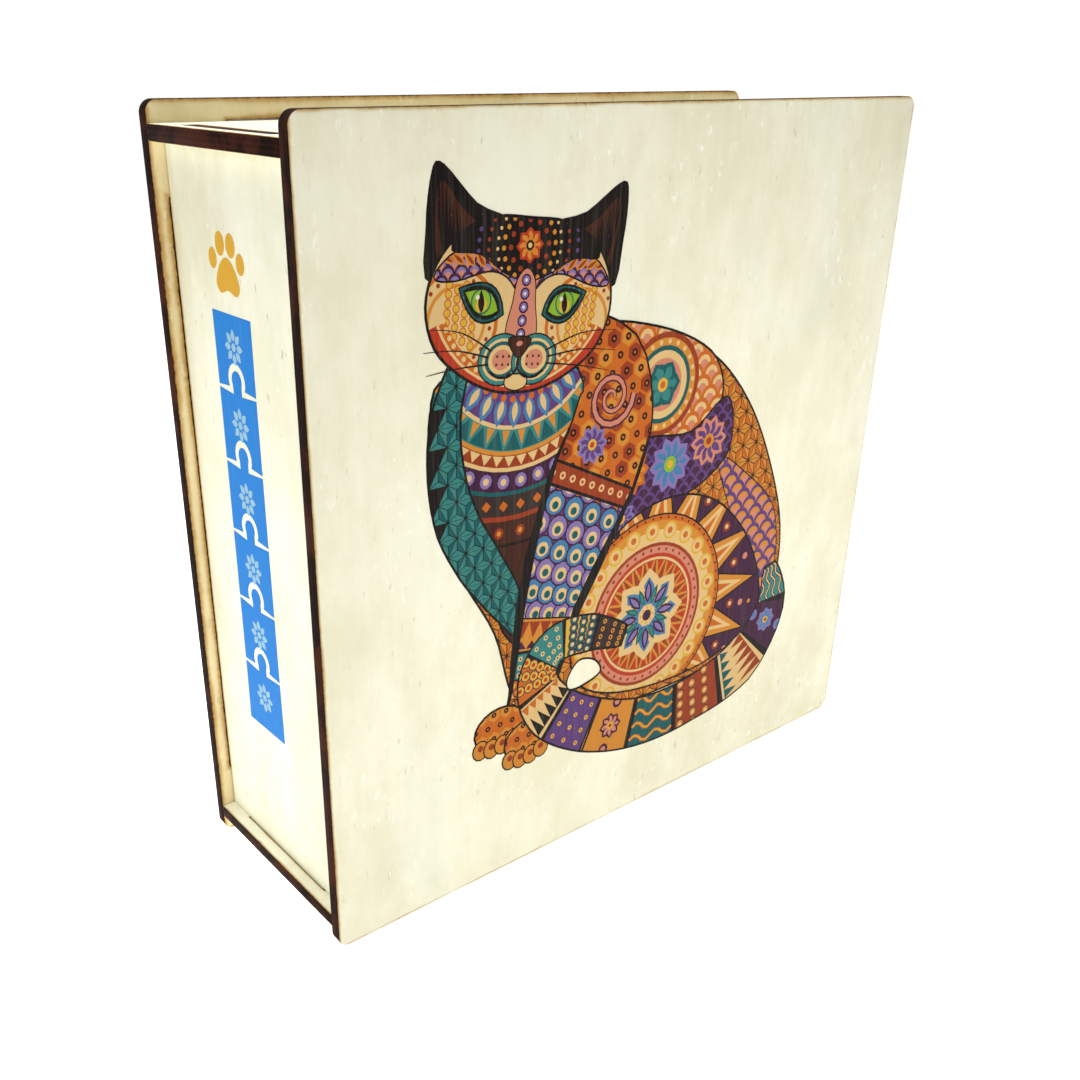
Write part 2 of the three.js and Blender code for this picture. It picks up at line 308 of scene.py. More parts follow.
def plywood(node, through, along, slots, reach, pale, deep, tabs=(0, 0, 0)):
    """A board's material. through and along are axis numbers, slots hold (middle, half) pairs, and tabs
    says how far the board's tabs stand out along each axis, which the scorch leaves out."""
    low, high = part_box(node)
    across = 3 - through - along
    middle, half = (low + high) / 2, (high - low) / 2
    for axis, reach_out in enumerate(tabs):
        half[axis] -= abs(reach_out) / 2
        middle[axis] -= reach_out / 2
    material, tree, surface = new_material("plywood_" + node, Specular_IOR_Level=0.12)
    place = add(tree, "ShaderNodeTexCoord").outputs["Object"]
    parts = add(tree, "ShaderNodeSeparateXYZ", Vector=place).outputs
    turned = add(tree, "ShaderNodeCombineXYZ", X=parts[across], Y=parts[through], Z=parts[along])
    vector = turned.outputs[0]

    def inside(centre_u, half_u, centre_v, half_v):
        return use_group(
            tree, cut_distance, U=parts[across], V=parts[along], Middle_U=centre_u, Middle_V=centre_v,
            Half_U=half_u, Half_V=half_v,
        ).outputs["Distance"]

    distance = inside(middle[across], half[across], middle[along], half[along])
    for (centre_u, half_u), (centre_v, half_v) in slots:
        beyond = maths(tree, "MULTIPLY", inside(centre_u, half_u, centre_v, half_v), -1.0)
        distance = maths(tree, "MINIMUM", distance, maths(tree, "ABSOLUTE", beyond))
    wood = use_group(tree, veneer, Vector=vector, Pale=srgb(*pale), Deep=srgb(*deep)).outputs
    burn = use_group(
        tree, scorch, Vector=vector, Distance=distance,
        Through=maths(tree, "SUBTRACT", parts[through], middle[through]), Half_Ply=PLY / 2,
        Reach=reach, Face_Colour=wood["Colour"], Face_Roughness=wood["Roughness"],
    ).outputs
    feed(tree, surface.inputs["Base Color"], burn["Colour"])
    feed(tree, surface.inputs["Roughness"], burn["Roughness"])
    ridges = maths(tree, "MULTIPLY", burn["Ridges"], burn["Char"])
    relief = maths(tree, "ADD", maths(tree, "MULTIPLY", wood["Height"], 0.35), ridges)
    bump = add(tree, "ShaderNodeBump", Height=relief, Strength=0.35, Distance=0.12 * MM)
    feed(tree, surface.inputs["Normal"], bump.outputs[0])
    return material


print("plywood maker ready")

# %% [markdown]
# ## The boards
# The frame's boards have the right shape, but mathematically sharp edges. A cut edge is worn a little,
# and that thin rounding is what catches the light along a real board. So each board is copied, its
# loose triangles are merged, its flat faces are joined again, and a bevel modifier rounds the sharp
# edges by a fifth of a millimetre.


# %% Ease the boards' edges
def select_only(piece):
    bpy.ops.object.select_all(action="DESELECT")
    piece.select_set(True)
    bpy.context.view_layer.objects.active = piece


def copy_node(node, name):
    """A copy of a frame node as one merged mesh with its flat faces joined."""
    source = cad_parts[node]
    piece = bpy.data.objects.new(name, source.data.copy())
    bpy.context.scene.collection.objects.link(piece)
    piece.data.materials.clear()
    select_only(piece)
    bpy.ops.object.mode_set(mode="EDIT")
    bpy.ops.mesh.select_all(action="SELECT")
    bpy.ops.mesh.remove_doubles(threshold=0.001 * MM)
    bpy.ops.mesh.dissolve_limited(angle_limit=math.radians(1))
    bpy.ops.object.mode_set(mode="OBJECT")
    return piece


def apply_bevel(piece, width, segments=2):
    select_only(piece)
    bpy.ops.object.modifier_add(type="BEVEL")
    bevel = piece.modifiers[-1]
    bevel.width = width
    bevel.segments = segments
    bevel.limit_method = "ANGLE"
    bevel.angle_limit = math.radians(40)
    bpy.ops.object.modifier_apply(modifier=bevel.name)
    bpy.ops.object.shade_smooth_by_angle(angle=math.radians(40))


def stand_for(piece, body, slot, *nodes):
    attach(piece, body)
    if nodes:
        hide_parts(*nodes)


def slots_in(board, others, axis_u, axis_v):
    return [slot_box(board, other, axis_u, axis_v) for other in others]


SIDES = ["left_wall", "right_wall"]
LEVELS = ["top_wall", "bottom_wall"]
# The covers and walls are one basswood, so these tones are partly painted light. The covers' tones are
# darkened as painted shade over the front, and the walls' tones are lightened as painted light on the side
# and top faces.
COVER_TONES_WITH_PAINTED_SHADE = {"pale": (240, 238, 216), "deep": (226, 221, 190)}
WALL_TONES_WITH_PAINTED_LIGHT = {"pale": (254, 254, 234), "deep": (240, 237, 208)}
BACK_TONES = {"pale": (246, 231, 190), "deep": (226, 208, 160)}
# The back cover's scorch reaches further than the others'. It is partly real scorch and partly painted
# shade on the strips of its inner face that lie beside the walls, deep between the covers.
LIGHT_SCORCH, HEAVY_SCORCH_AND_SHADE = 0.26 * MM, 0.60 * MM
EASED_EDGE = 0.2 * MM
boards = {
    "front_cover": ("lid", Y, Z, [], LIGHT_SCORCH, COVER_TONES_WITH_PAINTED_SHADE),
    "lid_board": ("lid", Y, Z, [], LIGHT_SCORCH, COVER_TONES_WITH_PAINTED_SHADE),
    "back_cover": ("case", Y, Z, slots_in("back_cover", SIDES + LEVELS, X, Z), HEAVY_SCORCH_AND_SHADE, BACK_TONES),
    "top_wall": ("case", Z, X, slots_in("top_wall", SIDES, Y, X), LIGHT_SCORCH, WALL_TONES_WITH_PAINTED_LIGHT),
    "bottom_wall": ("case", Z, X, slots_in("bottom_wall", SIDES, Y, X), LIGHT_SCORCH, WALL_TONES_WITH_PAINTED_LIGHT),
    "left_wall": ("case", X, Z, [], LIGHT_SCORCH, WALL_TONES_WITH_PAINTED_LIGHT),
    "right_wall": ("case", X, Z, [], LIGHT_SCORCH, WALL_TONES_WITH_PAINTED_LIGHT),
}
for node, (body, through, along, slots, reach, tones) in boards.items():
    piece = copy_node(node, node + "_board")
    apply_bevel(piece, EASED_EDGE)
    tabs = (0, PLY, 0) if node in SIDES else (0, 0, 0)
    piece.data.materials.append(plywood(node, through, along, slots, reach, tabs=tabs, **tones))
    stand_for(piece, body, "plywood", node)
    print(piece.name, len(piece.data.polygons), "faces")

# %% [markdown]
# ## Drawing the printed cat
# The picture is a seated cat whose body is divided into areas, each filled with its own small
# pattern: hexagons, scales, triangles, a wheel of rays. It is drawn flat, in millimetres from the
# front cover's lower left corner, as a list of closed outlines that are painted one over another.
# The first helpers make the outlines: smooth closed curves, discs, petals and bands that follow a
# curve.

# %% Outline helpers
INKS = {
    "black": (22, 13, 13), "charcoal": (58, 44, 42), "orange": (218, 112, 26), "amber": (230, 150, 50),
    "rust": (166, 62, 24), "red": (202, 62, 32), "cream": (246, 208, 142), "yellow": (240, 190, 68),
    "pink": (228, 146, 118), "plum": (70, 26, 64), "purple": (102, 66, 132), "lilac": (146, 126, 190),
    "teal": (18, 98, 102), "sea": (58, 142, 138), "sky": (74, 136, 186), "green": (150, 196, 44),
    "white": (250, 244, 226), "brown": (72, 34, 20),
}


def at(u, v):
    return Vector((u, v))


def toward(angle):
    """A step of length 1 in a direction."""
    return at(math.cos(angle), math.sin(angle))


def around(count, turn=0.0):
    """Evenly spaced directions, once round."""
    return [turn + 2 * math.pi * k / count for k in range(count)]


def spline(points, steps=5, closed=True):
    """A smooth curve through the points (Catmull-Rom)."""
    points = [Vector(point) for point in points]
    count = len(points)
    curve = []
    for i in range(count if closed else count - 1):
        before = points[(i - 1) % count] if closed or i > 0 else points[0]
        start, end = points[i], points[(i + 1) % count]
        after = points[(i + 2) % count] if closed or i + 2 < count else end
        for step in range(steps):
            t = step / steps
            bend = t * t * (2 * before - 5 * start + 4 * end - after)
            twist = t ** 3 * (3 * start - before - 3 * end + after)
            curve.append(0.5 * (2 * start + t * (end - before) + bend + twist))
    if not closed:
        curve.append(points[-1])
    return curve


def disc(centre, radius, sides=12, turn=0.0, squash=1.0):
    return [centre + at(radius * math.cos(a), radius * squash * math.sin(a)) for a in around(sides, turn)]


def petal(centre, angle, inner, outer, half_width, sides=4):
    """A lens that points away from the centre."""
    along, aside = toward(angle), toward(angle + math.pi / 2)
    edge = []
    for k in range(sides + 1):
        t = k / sides
        edge.append((inner + (outer - inner) * t, half_width * math.sin(math.pi * t ** 0.85)))
    right = [centre + along * reach + aside * width for reach, width in edge]
    left = [centre + along * reach - aside * width for reach, width in edge[-2:0:-1]]
    return right + left


def area_of(outline):
    return sum(a.x * b.y - b.x * a.y for a, b in zip(outline, outline[1:] + outline[:1])) / 2


def widened(outline, amount):
    """The outline moved outwards by the amount given."""
    if area_of(outline) < 0:
        outline = outline[::-1]
    count = len(outline)
    moved = []
    for i, point in enumerate(outline):
        along = (outline[(i + 1) % count] - outline[i - 1]).normalized()
        moved.append(point + at(along.y, -along.x) * amount)
    return moved


def stroke(points, widths):
    """A drawn line. widths is one width or a width for each point."""
    if not isinstance(widths, (list, tuple)):
        widths = [widths] * len(points)
    left, right = [], []
    for i, point in enumerate(points):
        before, after = points[max(i - 1, 0)], points[min(i + 1, len(points) - 1)]
        along = (after - before).normalized()
        aside = at(-along.y, along.x) * widths[i] / 2
        left.append(point + aside)
        right.append(point - aside)
    return left + right[::-1]


def contains(outline, point):
    """True if the point lies inside the outline."""
    odd = False
    for a, b in zip(outline, outline[1:] + outline[:1]):
        if (a.y > point.y) != (b.y > point.y):
            odd ^= point.x < (b.x - a.x) * (point.y - a.y) / (b.y - a.y) + a.x
    return odd


print("outline helpers ready,", len(INKS), "inks")

# %% [markdown]
# ## Painting in layers
# `area` paints an opaque outline over all that is below it, with a black line round it. `fill` adds
# small shapes that show only inside one area, so a pattern can run past its area's edge and is cut
# off there, as an illustrator's clipping mask does.

# %% Layers
layers = []
LINE = 0.5


def area(outline, ink, line=LINE):
    """Paints an outline over everything so far, with a black line round it, and returns its number.
    Without an ink it leaves the board bare."""
    if line:
        layers.append((widened(outline, line), "black", None))
    layers.append((outline, ink, None))
    return len(layers) - 1


def reach_of(owner):
    """Lowest and highest corners of an area."""
    mask = layers[owner][0]
    low = at(min(p.x for p in mask), min(p.y for p in mask))
    high = at(max(p.x for p in mask), max(p.y for p in mask))
    return low, high


def fill(owner, shapes):
    """Adds shapes that show only inside the area with that number."""
    mask = layers[owner][0]
    low, high = reach_of(owner)
    for outline, ink in shapes:
        near = any(low.x < p.x < high.x and low.y < p.y < high.y for p in outline)
        inside = near and any(contains(mask, p) for p in outline)
        if inside or any(contains(outline, p) for p in mask[::2]):
            layers.append((outline, ink, owner))


def dots(owner, centre, *rings):
    """Nested discs, each given as (radius, sides, ink), the largest first."""
    fill(owner, [(disc(centre, radius, sides), ink) for radius, sides, ink in rings])


def leaves(owner, centre, angle, *petals):
    """Petals on one ray from a centre, each given as (inner end, outer end, half width, ink)."""
    for inner, outer, half_width, ink in petals:
        fill(owner, [(petal(centre, angle, inner, outer, half_width), ink)])


# %% [markdown]
# ## Patterns
# Each pattern is a loop. It covers the rectangle round its area, and `fill` drops what falls outside.


# %% Pattern makers
def grid_points(owner, across, up, shift=0.5):
    """Points in rows over an area, every second row moved along."""
    low, high = reach_of(owner)
    rows = int((high.y - low.y) / up) + 2
    columns = int((high.x - low.x) / across) + 2
    for row in range(rows):
        for column in range(columns):
            yield row, column, low + at((column + shift * (row % 2)) * across, row * up)


def hexagons(owner, size, inks, dot="black"):
    """A honeycomb with a dot in each cell."""
    for row, column, centre in grid_points(owner, size * math.sqrt(3), size * 1.5):
        ink = inks[(row + 2 * column) % len(inks)]
        fill(owner, [(disc(centre, size * 0.87, 6, math.pi / 6), ink)])
        dots(owner, centre, (size * 0.36, 8, dot), (size * 0.15, 5, inks[0]))


def scales(owner, size, inks):
    """Rows of overlapping scales, each of nested discs, with the lower rows painted over the upper."""
    places = sorted(grid_points(owner, size * 1.9, size * 0.95), key=lambda place: -place[0])
    for _, _, centre in places:
        for k, ink in enumerate(inks):
            dots(owner, centre - at(0, k * size * 0.10), (size * (1 - 0.27 * k), 12, ink))


def triangles(owner, side, inks, gap=0.2):
    """A lattice of triangles split into three shades, with dark gaps between."""
    rise = side * math.sqrt(3) / 2
    for _, _, corner in grid_points(owner, side, rise):
        right, peak, beyond = at(side, 0), at(side / 2, rise), at(side * 1.5, rise)
        for flip, steps in enumerate(((at(0, 0), right, peak), (right, beyond, peak))):
            points = [corner + step for step in steps]
            middle = (points[0] + points[1] + points[2]) / 3
            for k in range(3):
                wedge = [points[k], points[(k + 1) % 3], middle]
                heart = (wedge[0] + wedge[1] + wedge[2]) / 3
                fill(owner, [([p.lerp(heart, gap) for p in wedge], inks[(k + flip) % len(inks)])])


def flower(owner, centre, count, radius, inks, heart=0.25):
    """Petals in two shades round a heart."""
    wide = radius * math.pi / count * 0.95
    inner = radius * heart * 0.8
    for angle in around(count):
        leaves(owner, centre, angle, (inner, radius, wide, inks[0]),
               (inner, radius * 0.82, wide * 0.55, inks[1]))
    dots(owner, centre, (radius * heart * 1.15, 12, inks[2]), (radius * heart * 0.6, 10, inks[3]))


def ring_of(owner, centre, radius, count, size, ink, sides=8):
    """A ring of dots."""
    for angle in around(count):
        dots(owner, centre + toward(angle) * radius, (size, sides, ink))


def rays(owner, centre, inner, outer, count, ink, spread=0.9, turn=0.0):
    """A ring of pointed teeth."""
    half = math.pi / count * spread
    for angle in around(count, turn):
        tooth = [centre + toward(angle + bend) * length
                 for bend, length in ((-half, inner), (half, inner), (0, outer))]
        fill(owner, [(tooth, ink)])


def spiral(owner, centre, radius, turns, width, ink):
    """A line that winds outwards and thickens."""
    steps = int(16 * turns)
    shares = [k / steps for k in range(steps + 1)]
    points = [centre + toward(2 * math.pi * turns * t) * radius * (0.12 + 0.88 * t) for t in shares]
    fill(owner, [(stroke(points, [width * (0.5 + 0.5 * t) for t in shares]), ink)])


class Band:
    """A strip along a curve, with a half width for each point. place(s, t) gives the point at share s
    of the length and share t of the half width, from -1 on the right to 1 on the left."""

    def __init__(self, points, halves, steps=8):
        self.line = spline(points, steps, closed=False)
        count = len(self.line) - 1
        self.half = []
        for i in range(count + 1):
            where = i / count * (len(halves) - 1)
            k = min(int(where), len(halves) - 2)
            self.half.append(halves[k] + (halves[k + 1] - halves[k]) * (where - k))

    def place(self, s, t):
        where = min(max(s, 0.0), 1.0) * (len(self.line) - 1)
        i = min(int(where), len(self.line) - 2)
        part = where - i
        along = (self.line[i + 1] - self.line[i]).normalized()
        point = self.line[i].lerp(self.line[i + 1], part)
        half = self.half[i] + (self.half[i + 1] - self.half[i]) * part
        return point + at(-along.y, along.x) * half * t

    def slice(self, s0, s1, edge=1.15, steps=3):
        """The outline of a stretch. It reaches past the band's sides, for the area to cut off."""
        shares = [s0 + (s1 - s0) * k / steps for k in range(steps + 1)]
        return [self.place(s, edge) for s in shares] + [self.place(s, -edge) for s in shares[::-1]]

    def outline(self, steps=26):
        return self.slice(0, 1, 1, steps)


print("pattern makers ready")

# %% [markdown]
# A band is filled slice by slice. Each slice has a ground colour and a motif in two more, and a motif
# places its shapes by shares of the slice's length and of the band's half width.


# %% Motifs
def zigzag(owner, spot, ink, other):
    for j in range(5):
        t = -1 + 0.4 * j
        fill(owner, [([spot(0.12, t), spot(0.12, t + 0.4), spot(0.60, t + 0.2)], ink),
                     ([spot(0.90, t), spot(0.90, t + 0.4), spot(0.66, t + 0.2)], other)])


def studs(owner, spot, ink, other):
    for j in range(4):
        for line in range(3):
            dots(owner, spot(0.2 + 0.3 * line, -0.75 + 0.5 * j), (0.62, 8, ink), (0.28, 6, other))


def scallops(owner, spot, ink, other):
    for line in range(3):
        for j in range(5):
            centre = spot(0.86 - 0.28 * line, -0.9 + 0.45 * j + 0.22 * (line % 2))
            dots(owner, centre, (1.35, 10, "plum"), (1.1, 10, ink), (0.55, 8, other))


def blossom(owner, spot, ink, other):
    flower(owner, spot(0.5, 0.0), 8, 3.4, (ink, other, "yellow", "rust"))
    for side in (-1, 1):
        dots(owner, spot(0.5, 0.95 * side), (1.5, 10, ink), (0.8, 8, other))


def waves(owner, spot, ink, other):
    for line in range(4):
        level = -0.9 + 0.55 * line
        wave = [spot(0.05 + 0.9 * j / 10, level + 0.16 * math.sin(2 * math.pi * j / 5)) for j in range(11)]
        fill(owner, [(stroke(wave, 0.95), ink), (stroke(wave, 0.38), other)])


def banded(owner, band, slices, start=0.0, end=1.0):
    """Fills a band with slices, each (ground, motif, ink, other ink), and a dark line between them."""
    step = (end - start) / len(slices)
    for k, (ground, motif, ink, other) in enumerate(slices):
        first = start + k * step

        def spot(share, t, first=first):
            return band.place(first + step * share, t)

        fill(owner, [(band.slice(first, first + step), "black"),
                     (band.slice(first + step * 0.05, first + step * 0.95), ground)])
        motif(owner, spot, ink, other)


print("motifs ready")

# %% [markdown]
# ## The cat's body
# The areas go from the back of the picture to its front: back and haunch, chest, foreleg, paws, tail
# and last the head. Each is a curve through a few points.

# %% Body
body = area(spline([
    (63, 117), (82, 115), (99, 108), (112, 96), (122, 80), (129, 62), (129, 46), (122, 34), (98, 30),
    (72, 31), (54, 34), (45, 44), (40, 60), (31, 76), (26, 92), (25, 108), (32, 117), (46, 121),
]), "brown")
triangles(body, 4.6, ("amber", "orange", "amber"), 0.16)

lower_back = area(spline([
    (104, 84), (116, 77), (125, 68.5), (128.4, 57), (127, 44), (120, 38), (112, 46), (112, 64),
]), "rust", 0.3)
scales(lower_back, 2.6, ("purple", "amber", "pink"))

saddle = area(spline([
    (64, 118), (82, 116), (98, 109), (103, 100), (99, 92), (88, 89), (74, 92), (66, 104),
]), "cream")
scales(saddle, 2.7, ("orange", "cream", "pink"))
rosette = at(84, 104)
for radius, ink in ((11.0, "rust"), (9.8, "amber"), (8.2, "teal"), (7.2, "cream"), (5.6, "pink")):
    dots(saddle, rosette, (radius, 28, ink))
ring_of(saddle, rosette, 9.0, 22, 0.55, "cream")
flower(saddle, rosette, 6, 5.2, ("teal", "sea", "yellow", "orange"))

flank = area(spline([
    (68, 90), (80, 93), (94, 92), (105, 98), (107, 86), (97, 79), (84, 77), (70, 70), (66, 80),
]), "plum")
scales(flank, 1.9, ("purple", "plum"))
for centre, size, inks in (
    ((76, 86.5), 5.6, ("orange", "amber", "plum", "pink")),
    ((88, 86), 6.4, ("lilac", "sky", "green", "yellow")),
    ((100, 89), 5.8, ("pink", "purple", "amber", "rust")),
    ((74, 76.5), 4.2, ("lilac", "purple", "yellow", "red")),
):
    flower(flank, at(*centre), 10, size, inks)
print("body drawn,", len(layers), "outlines")

# %% [markdown]
# The haunch is a wheel. Rings are discs painted from the largest down, with teeth, dots and petals
# between them.

# %% Haunch
haunch = area(spline([
    (66, 66), (76, 75), (90, 78), (104, 74), (116, 63), (123, 49), (122, 38), (104, 32), (80, 33),
    (64, 40), (61, 54),
]), "plum")
hub = at(84, 51)
TEETH = 17
for outer, ink, spread in (
    (38.0, "black", 1.12), (36.6, "amber", 1.0), (32.5, "cream", 0.60), (29.0, "orange", 0.34),
):
    rays(haunch, hub, 22.5, outer, TEETH, ink, spread)
for angle in around(TEETH, math.pi / TEETH):
    gap = toward(angle)
    dots(haunch, hub + gap * 29.5, (1.3, 8, "rust"), (0.6, 8, "cream"))
    dots(haunch, hub + gap * 33.5, (0.9, 8, "pink"))
    dots(haunch, hub + gap * 36.8, (0.6, 8, "amber"))
for radius, ink in (
    (24.2, "black"), (23.8, "orange"), (22.6, "amber"), (20.4, "cream"), (17.4, "rust"), (16.6, "pink"),
    (14.9, "red"), (14.0, "cream"), (13.4, "rust"),
):
    dots(haunch, hub, (radius, 44, ink))
for angle in around(22, math.pi / 22):
    dots(haunch, hub + toward(angle) * 20.2, (2.2, 12, "yellow"), (1.6, 10, "cream"), (0.85, 8, "orange"))
ring_of(haunch, hub, 23.2, 60, 0.32, "brown", 6)
ring_of(haunch, hub, 15.8, 40, 0.45, "rust", 6)
rays(haunch, hub, 13.2, 8.2, 24, "amber", 0.92)
rays(haunch, hub, 13.3, 10.2, 24, "red", 0.60)
flower(haunch, hub, 8, 11.6, ("cream", "sky", "cream", "plum"), 0.2)
for angle in around(8):
    between = angle + math.pi / 8
    leaves(haunch, hub, angle, (3.1, 8.8, 1.25, "plum"), (3.8, 8.0, 0.6, "lilac"))
    leaves(haunch, hub, between, (2.7, 7.6, 0.85, "teal"), (3.2, 6.6, 0.4, "sea"))
ring_of(haunch, hub, 1.9, 8, 0.4, "yellow", 6)
print("haunch drawn,", len(layers), "outlines")

# %% [markdown]
# The chest has a bib of collars that all share one centre, under the chin, and a strip of teal
# triangles down its front edge.

# %% Chest and bib
chest = area(spline([
    (26, 112), (36, 112), (58, 112), (62, 100), (56, 84), (50, 68), (47, 56), (42, 60), (39, 70), (31, 82),
    (26, 96),
]), "brown")
throat = at(46, 122)
for radius, ink in (
    (44, "black"), (43.4, "brown"), (38.6, "rust"), (37.6, "charcoal"), (33.4, "teal"), (32.6, "plum"),
    (28.6, "cream"), (27.8, "rust"), (25.4, "amber"), (24.6, "sea"), (20.4, "cream"), (19.6, "purple"),
):
    dots(chest, throat, (radius, 52, ink))
ring_of(chest, throat, 41.0, 48, 1.2, "rust", 8)
ring_of(chest, throat, 41.0, 48, 0.6, "amber", 6)
ring_of(chest, throat, 35.5, 52, 1.1, "orange", 4)
ring_of(chest, throat, 30.6, 44, 1.45, "lilac", 10)
ring_of(chest, throat, 30.6, 44, 0.75, "cream", 8)
rays(chest, throat, 25.6, 27.6, 56, "cream")
rays(chest, throat, 24.4, 20.6, 34, "teal", 0.9)
rays(chest, throat, 20.6, 23.6, 34, "amber", 0.5, math.pi / 34)
for angle in around(30):
    leaves(chest, throat, angle, (14.5, 20.2, 1.5, "sky"), (15.0, 19.0, 0.75, "cream"))
ring_of(chest, throat, 14.6, 40, 0.7, "orange", 8)

front_strip = Band(
    [(33, 119), (28.5, 108), (28, 97), (30.5, 86), (36, 76), (42, 67), (46.5, 58)],
    [1.6, 3.0, 3.8, 4.6, 4.8, 4.0, 1.2],
)
strip = area(front_strip.outline(), "black")
triangles(strip, 4.2, ("sea", "teal", "sea"), 0.12)
print("chest drawn,", len(layers), "outlines")

# %% [markdown]
# The foreleg is a band from the shoulder to the paw. Its upper part is honeycomb, then feathers, then
# slices with a motif each. Thick dark folds part it from the chest and the haunch.

# %% Foreleg
foreleg = Band(
    [(59, 119), (69, 110), (70, 98), (65, 86), (59, 73), (54, 60), (51, 46), (48, 38)],
    [3.0, 8.5, 11.5, 12.5, 10.5, 8.0, 6.6, 5.0],
)
leg = area(foreleg.outline(30), "orange")
hexagons(leg, 2.3, ("orange", "amber", "rust"))
fill(leg, [(foreleg.slice(0.46, 0.74), "purple")])
for row in range(7):
    for column in range(5):
        spot = foreleg.place(0.71 - 0.045 * row, -0.95 + 0.48 * column + 0.24 * (row % 2))
        dots(leg, spot, (2.9, 12, "plum"), (2.5, 12, "sky" if row % 2 else "lilac"))
        dots(leg, spot - at(0, 0.3), (1.6, 10, "cream"))
        dots(leg, spot - at(0, 0.5), (0.9, 8, "teal"))
fill(leg, [(foreleg.slice(0.40, 0.455), "black"), (foreleg.slice(0.407, 0.448), "rust")])
for j in range(9):
    dots(leg, foreleg.place(0.427, -0.96 + 0.24 * j), (0.85, 8, "cream"), (0.42, 6, "red"))
curl = foreleg.place(0.22, -0.1)
spiral(leg, curl, 6.2, 2.0, 2.0, "plum")
spiral(leg, curl, 6.2, 2.0, 1.1, "pink")
flower(leg, foreleg.place(0.345, -0.35), 9, 4.2, ("lilac", "purple", "yellow", "red"))
banded(leg, foreleg, (
    ("amber", zigzag, "rust", "plum"), ("sea", studs, "cream", "plum"),
    ("cream", scallops, "orange", "yellow"), ("orange", studs, "black", "cream"),
), 0.72, 1.0)
for t in (-1, 1):
    fold = [foreleg.place(0.30 + 0.1 * k, t) for k in range(8)]
    layers.append((stroke(fold, [0.4, 1.0, 1.8, 2.6, 2.6, 2.0, 1.2, 0.5]), "black", None))
print("foreleg drawn,", len(layers), "outlines")

# %% [markdown]
# The tail comes round from behind, along the bottom and over the paws, and its tip curls up over the
# foreleg. The board stays bare in the gap that the curl leaves.

# %% Tail and paws
for (u, v), turn in (((41.5, 37), 0.35), ((49.5, 31.5), -0.25)):
    paw = area(disc(at(u, v), 6.6, 20, turn, 0.72), "orange")
    hexagons(paw, 1.9, ("orange", "amber"))
    for toe in range(4):
        spot = at(u - 5.2 + 2.9 * toe, v - 3.6 - 0.7 * math.sin(math.pi * toe / 3))
        toe_area = area(disc(spot, 1.95, 12, 0, 1.1), "amber", 0.35)
        dots(toe_area, spot + at(0, 0.5), (0.8, 8, "rust"))

tail = Band(
    [(127, 52), (129, 40), (120, 28), (102, 23), (84, 23), (68, 28), (56, 36), (51.5, 45), (56, 52),
     (66, 52), (77, 48)],
    [2.0, 5.6, 7.8, 6.4, 6.2, 6.4, 6.2, 5.2, 4.6, 4.2, 2.4],
)
tail_area = area(tail.outline(60), "amber", 0.5)
banded(tail_area, tail, (
    ("sea", waves, "plum", "cream"), ("plum", blossom, "lilac", "sky"), ("cream", zigzag, "rust", "teal"),
    ("rust", scallops, "amber", "cream"), ("teal", waves, "orange", "yellow"),
    ("amber", blossom, "plum", "pink"), ("purple", studs, "yellow", "rust"),
    ("cream", zigzag, "black", "orange"), ("orange", scallops, "yellow", "red"),
    ("sea", studs, "cream", "teal"), ("yellow", scallops, "teal", "cream"),
    ("charcoal", studs, "amber", "black"),
))
area(spline([(60.5, 42.5), (63.5, 45.8), (68, 44.6), (70, 41.2), (65, 39.6), (61, 39.8)], 4), None)
print("tail drawn,", len(layers), "outlines")

# %% [markdown]
# ## The cat's head
# The head is drawn about its own centre and leaned over a little, and each feature is drawn on both
# sides by one loop.

# %% Head
LEAN = Matrix.Rotation(math.radians(-7), 2)
head_centre = at(46, 125)


def face(a, b):
    """A point of the head, from its own centre, as a point of the picture."""
    return head_centre + LEAN @ at(a, b)


def flap(side, points, ink, line):
    """A shape on one side of the head, with its points given for the right side."""
    return area(spline([face(side * a, b) for a, b in points], 4), ink, line)


def both(points, ink, line):
    """A right half given from the top down, with its mirror image, as one area."""
    right = [Vector(point) for point in points]
    left = [at(-point.x, point.y) for point in right[::-1] if point.x != 0]
    return area([face(point.x, point.y) for point in spline(right + left, 4)], ink, line)


for side in (-1, 1):
    flap(side, ((5, 12.5), (13, 16), (20.5, 21.5), (22.3, 20.5), (22.6, 12), (20.5, 3)), "black", 0.5)
    inside_ear = flap(side, ((12, 12), (16, 15.5), (20.8, 19.4), (21.2, 12), (19, 6)), "brown", 0)
    for k in range(9):
        root = face(side * (12.5 + 0.8 * k), 7.5)
        tip = face(side * (14.5 + 0.85 * k), 12 + 1.05 * k)
        hair = [root, root.lerp(tip, 0.5) + at(side * 0.4, 0), tip]
        fill(inside_ear, [(stroke(hair, [0.75, 0.6, 0.2]), "black")])

head = both(
    [(0, 14.4), (8, 14.2), (15, 11.6), (20, 6), (21.6, -1), (19, -8), (13, -12.6), (6, -15.4), (0, -16)],
    "cream", 0.55,
)
for side in (-1, 1):
    cheek = face(side * 15, -3.5)
    dots(head, cheek, (9.4, 24, "orange"), (8.6, 24, "cream"), (6.6, 24, "amber"), (5.9, 24, "cream"))
    ring_of(head, cheek, 7.6, 24, 0.45, "rust", 6)
    for k in range(7):
        for j in range(4):
            spot = face(side * (11.5 + 1.9 * j), -7.6 + 1.6 * k + 0.8 * (j % 2))
            dots(head, spot, (0.86, 8, "orange"), (0.62, 8, "yellow"))
for ring, ink in ((24, "rust"), (23.2, "red"), (21.6, "cream"), (21.0, "orange")):
    sweep = [math.pi * (1.14 + 0.72 * k / 16) for k in range(17)]
    jaw = [face(ring * 0.95 * math.cos(a), 4 + ring * 0.86 * math.sin(a)) for a in sweep]
    fill(head, [(stroke(jaw, 1.6), ink)])
for k in range(26):
    a = math.pi * (1.12 + 0.76 * k / 25)
    dots(head, face(19.2 * math.cos(a), 3 + 17.2 * math.sin(a)), (0.55, 6, "cream"))

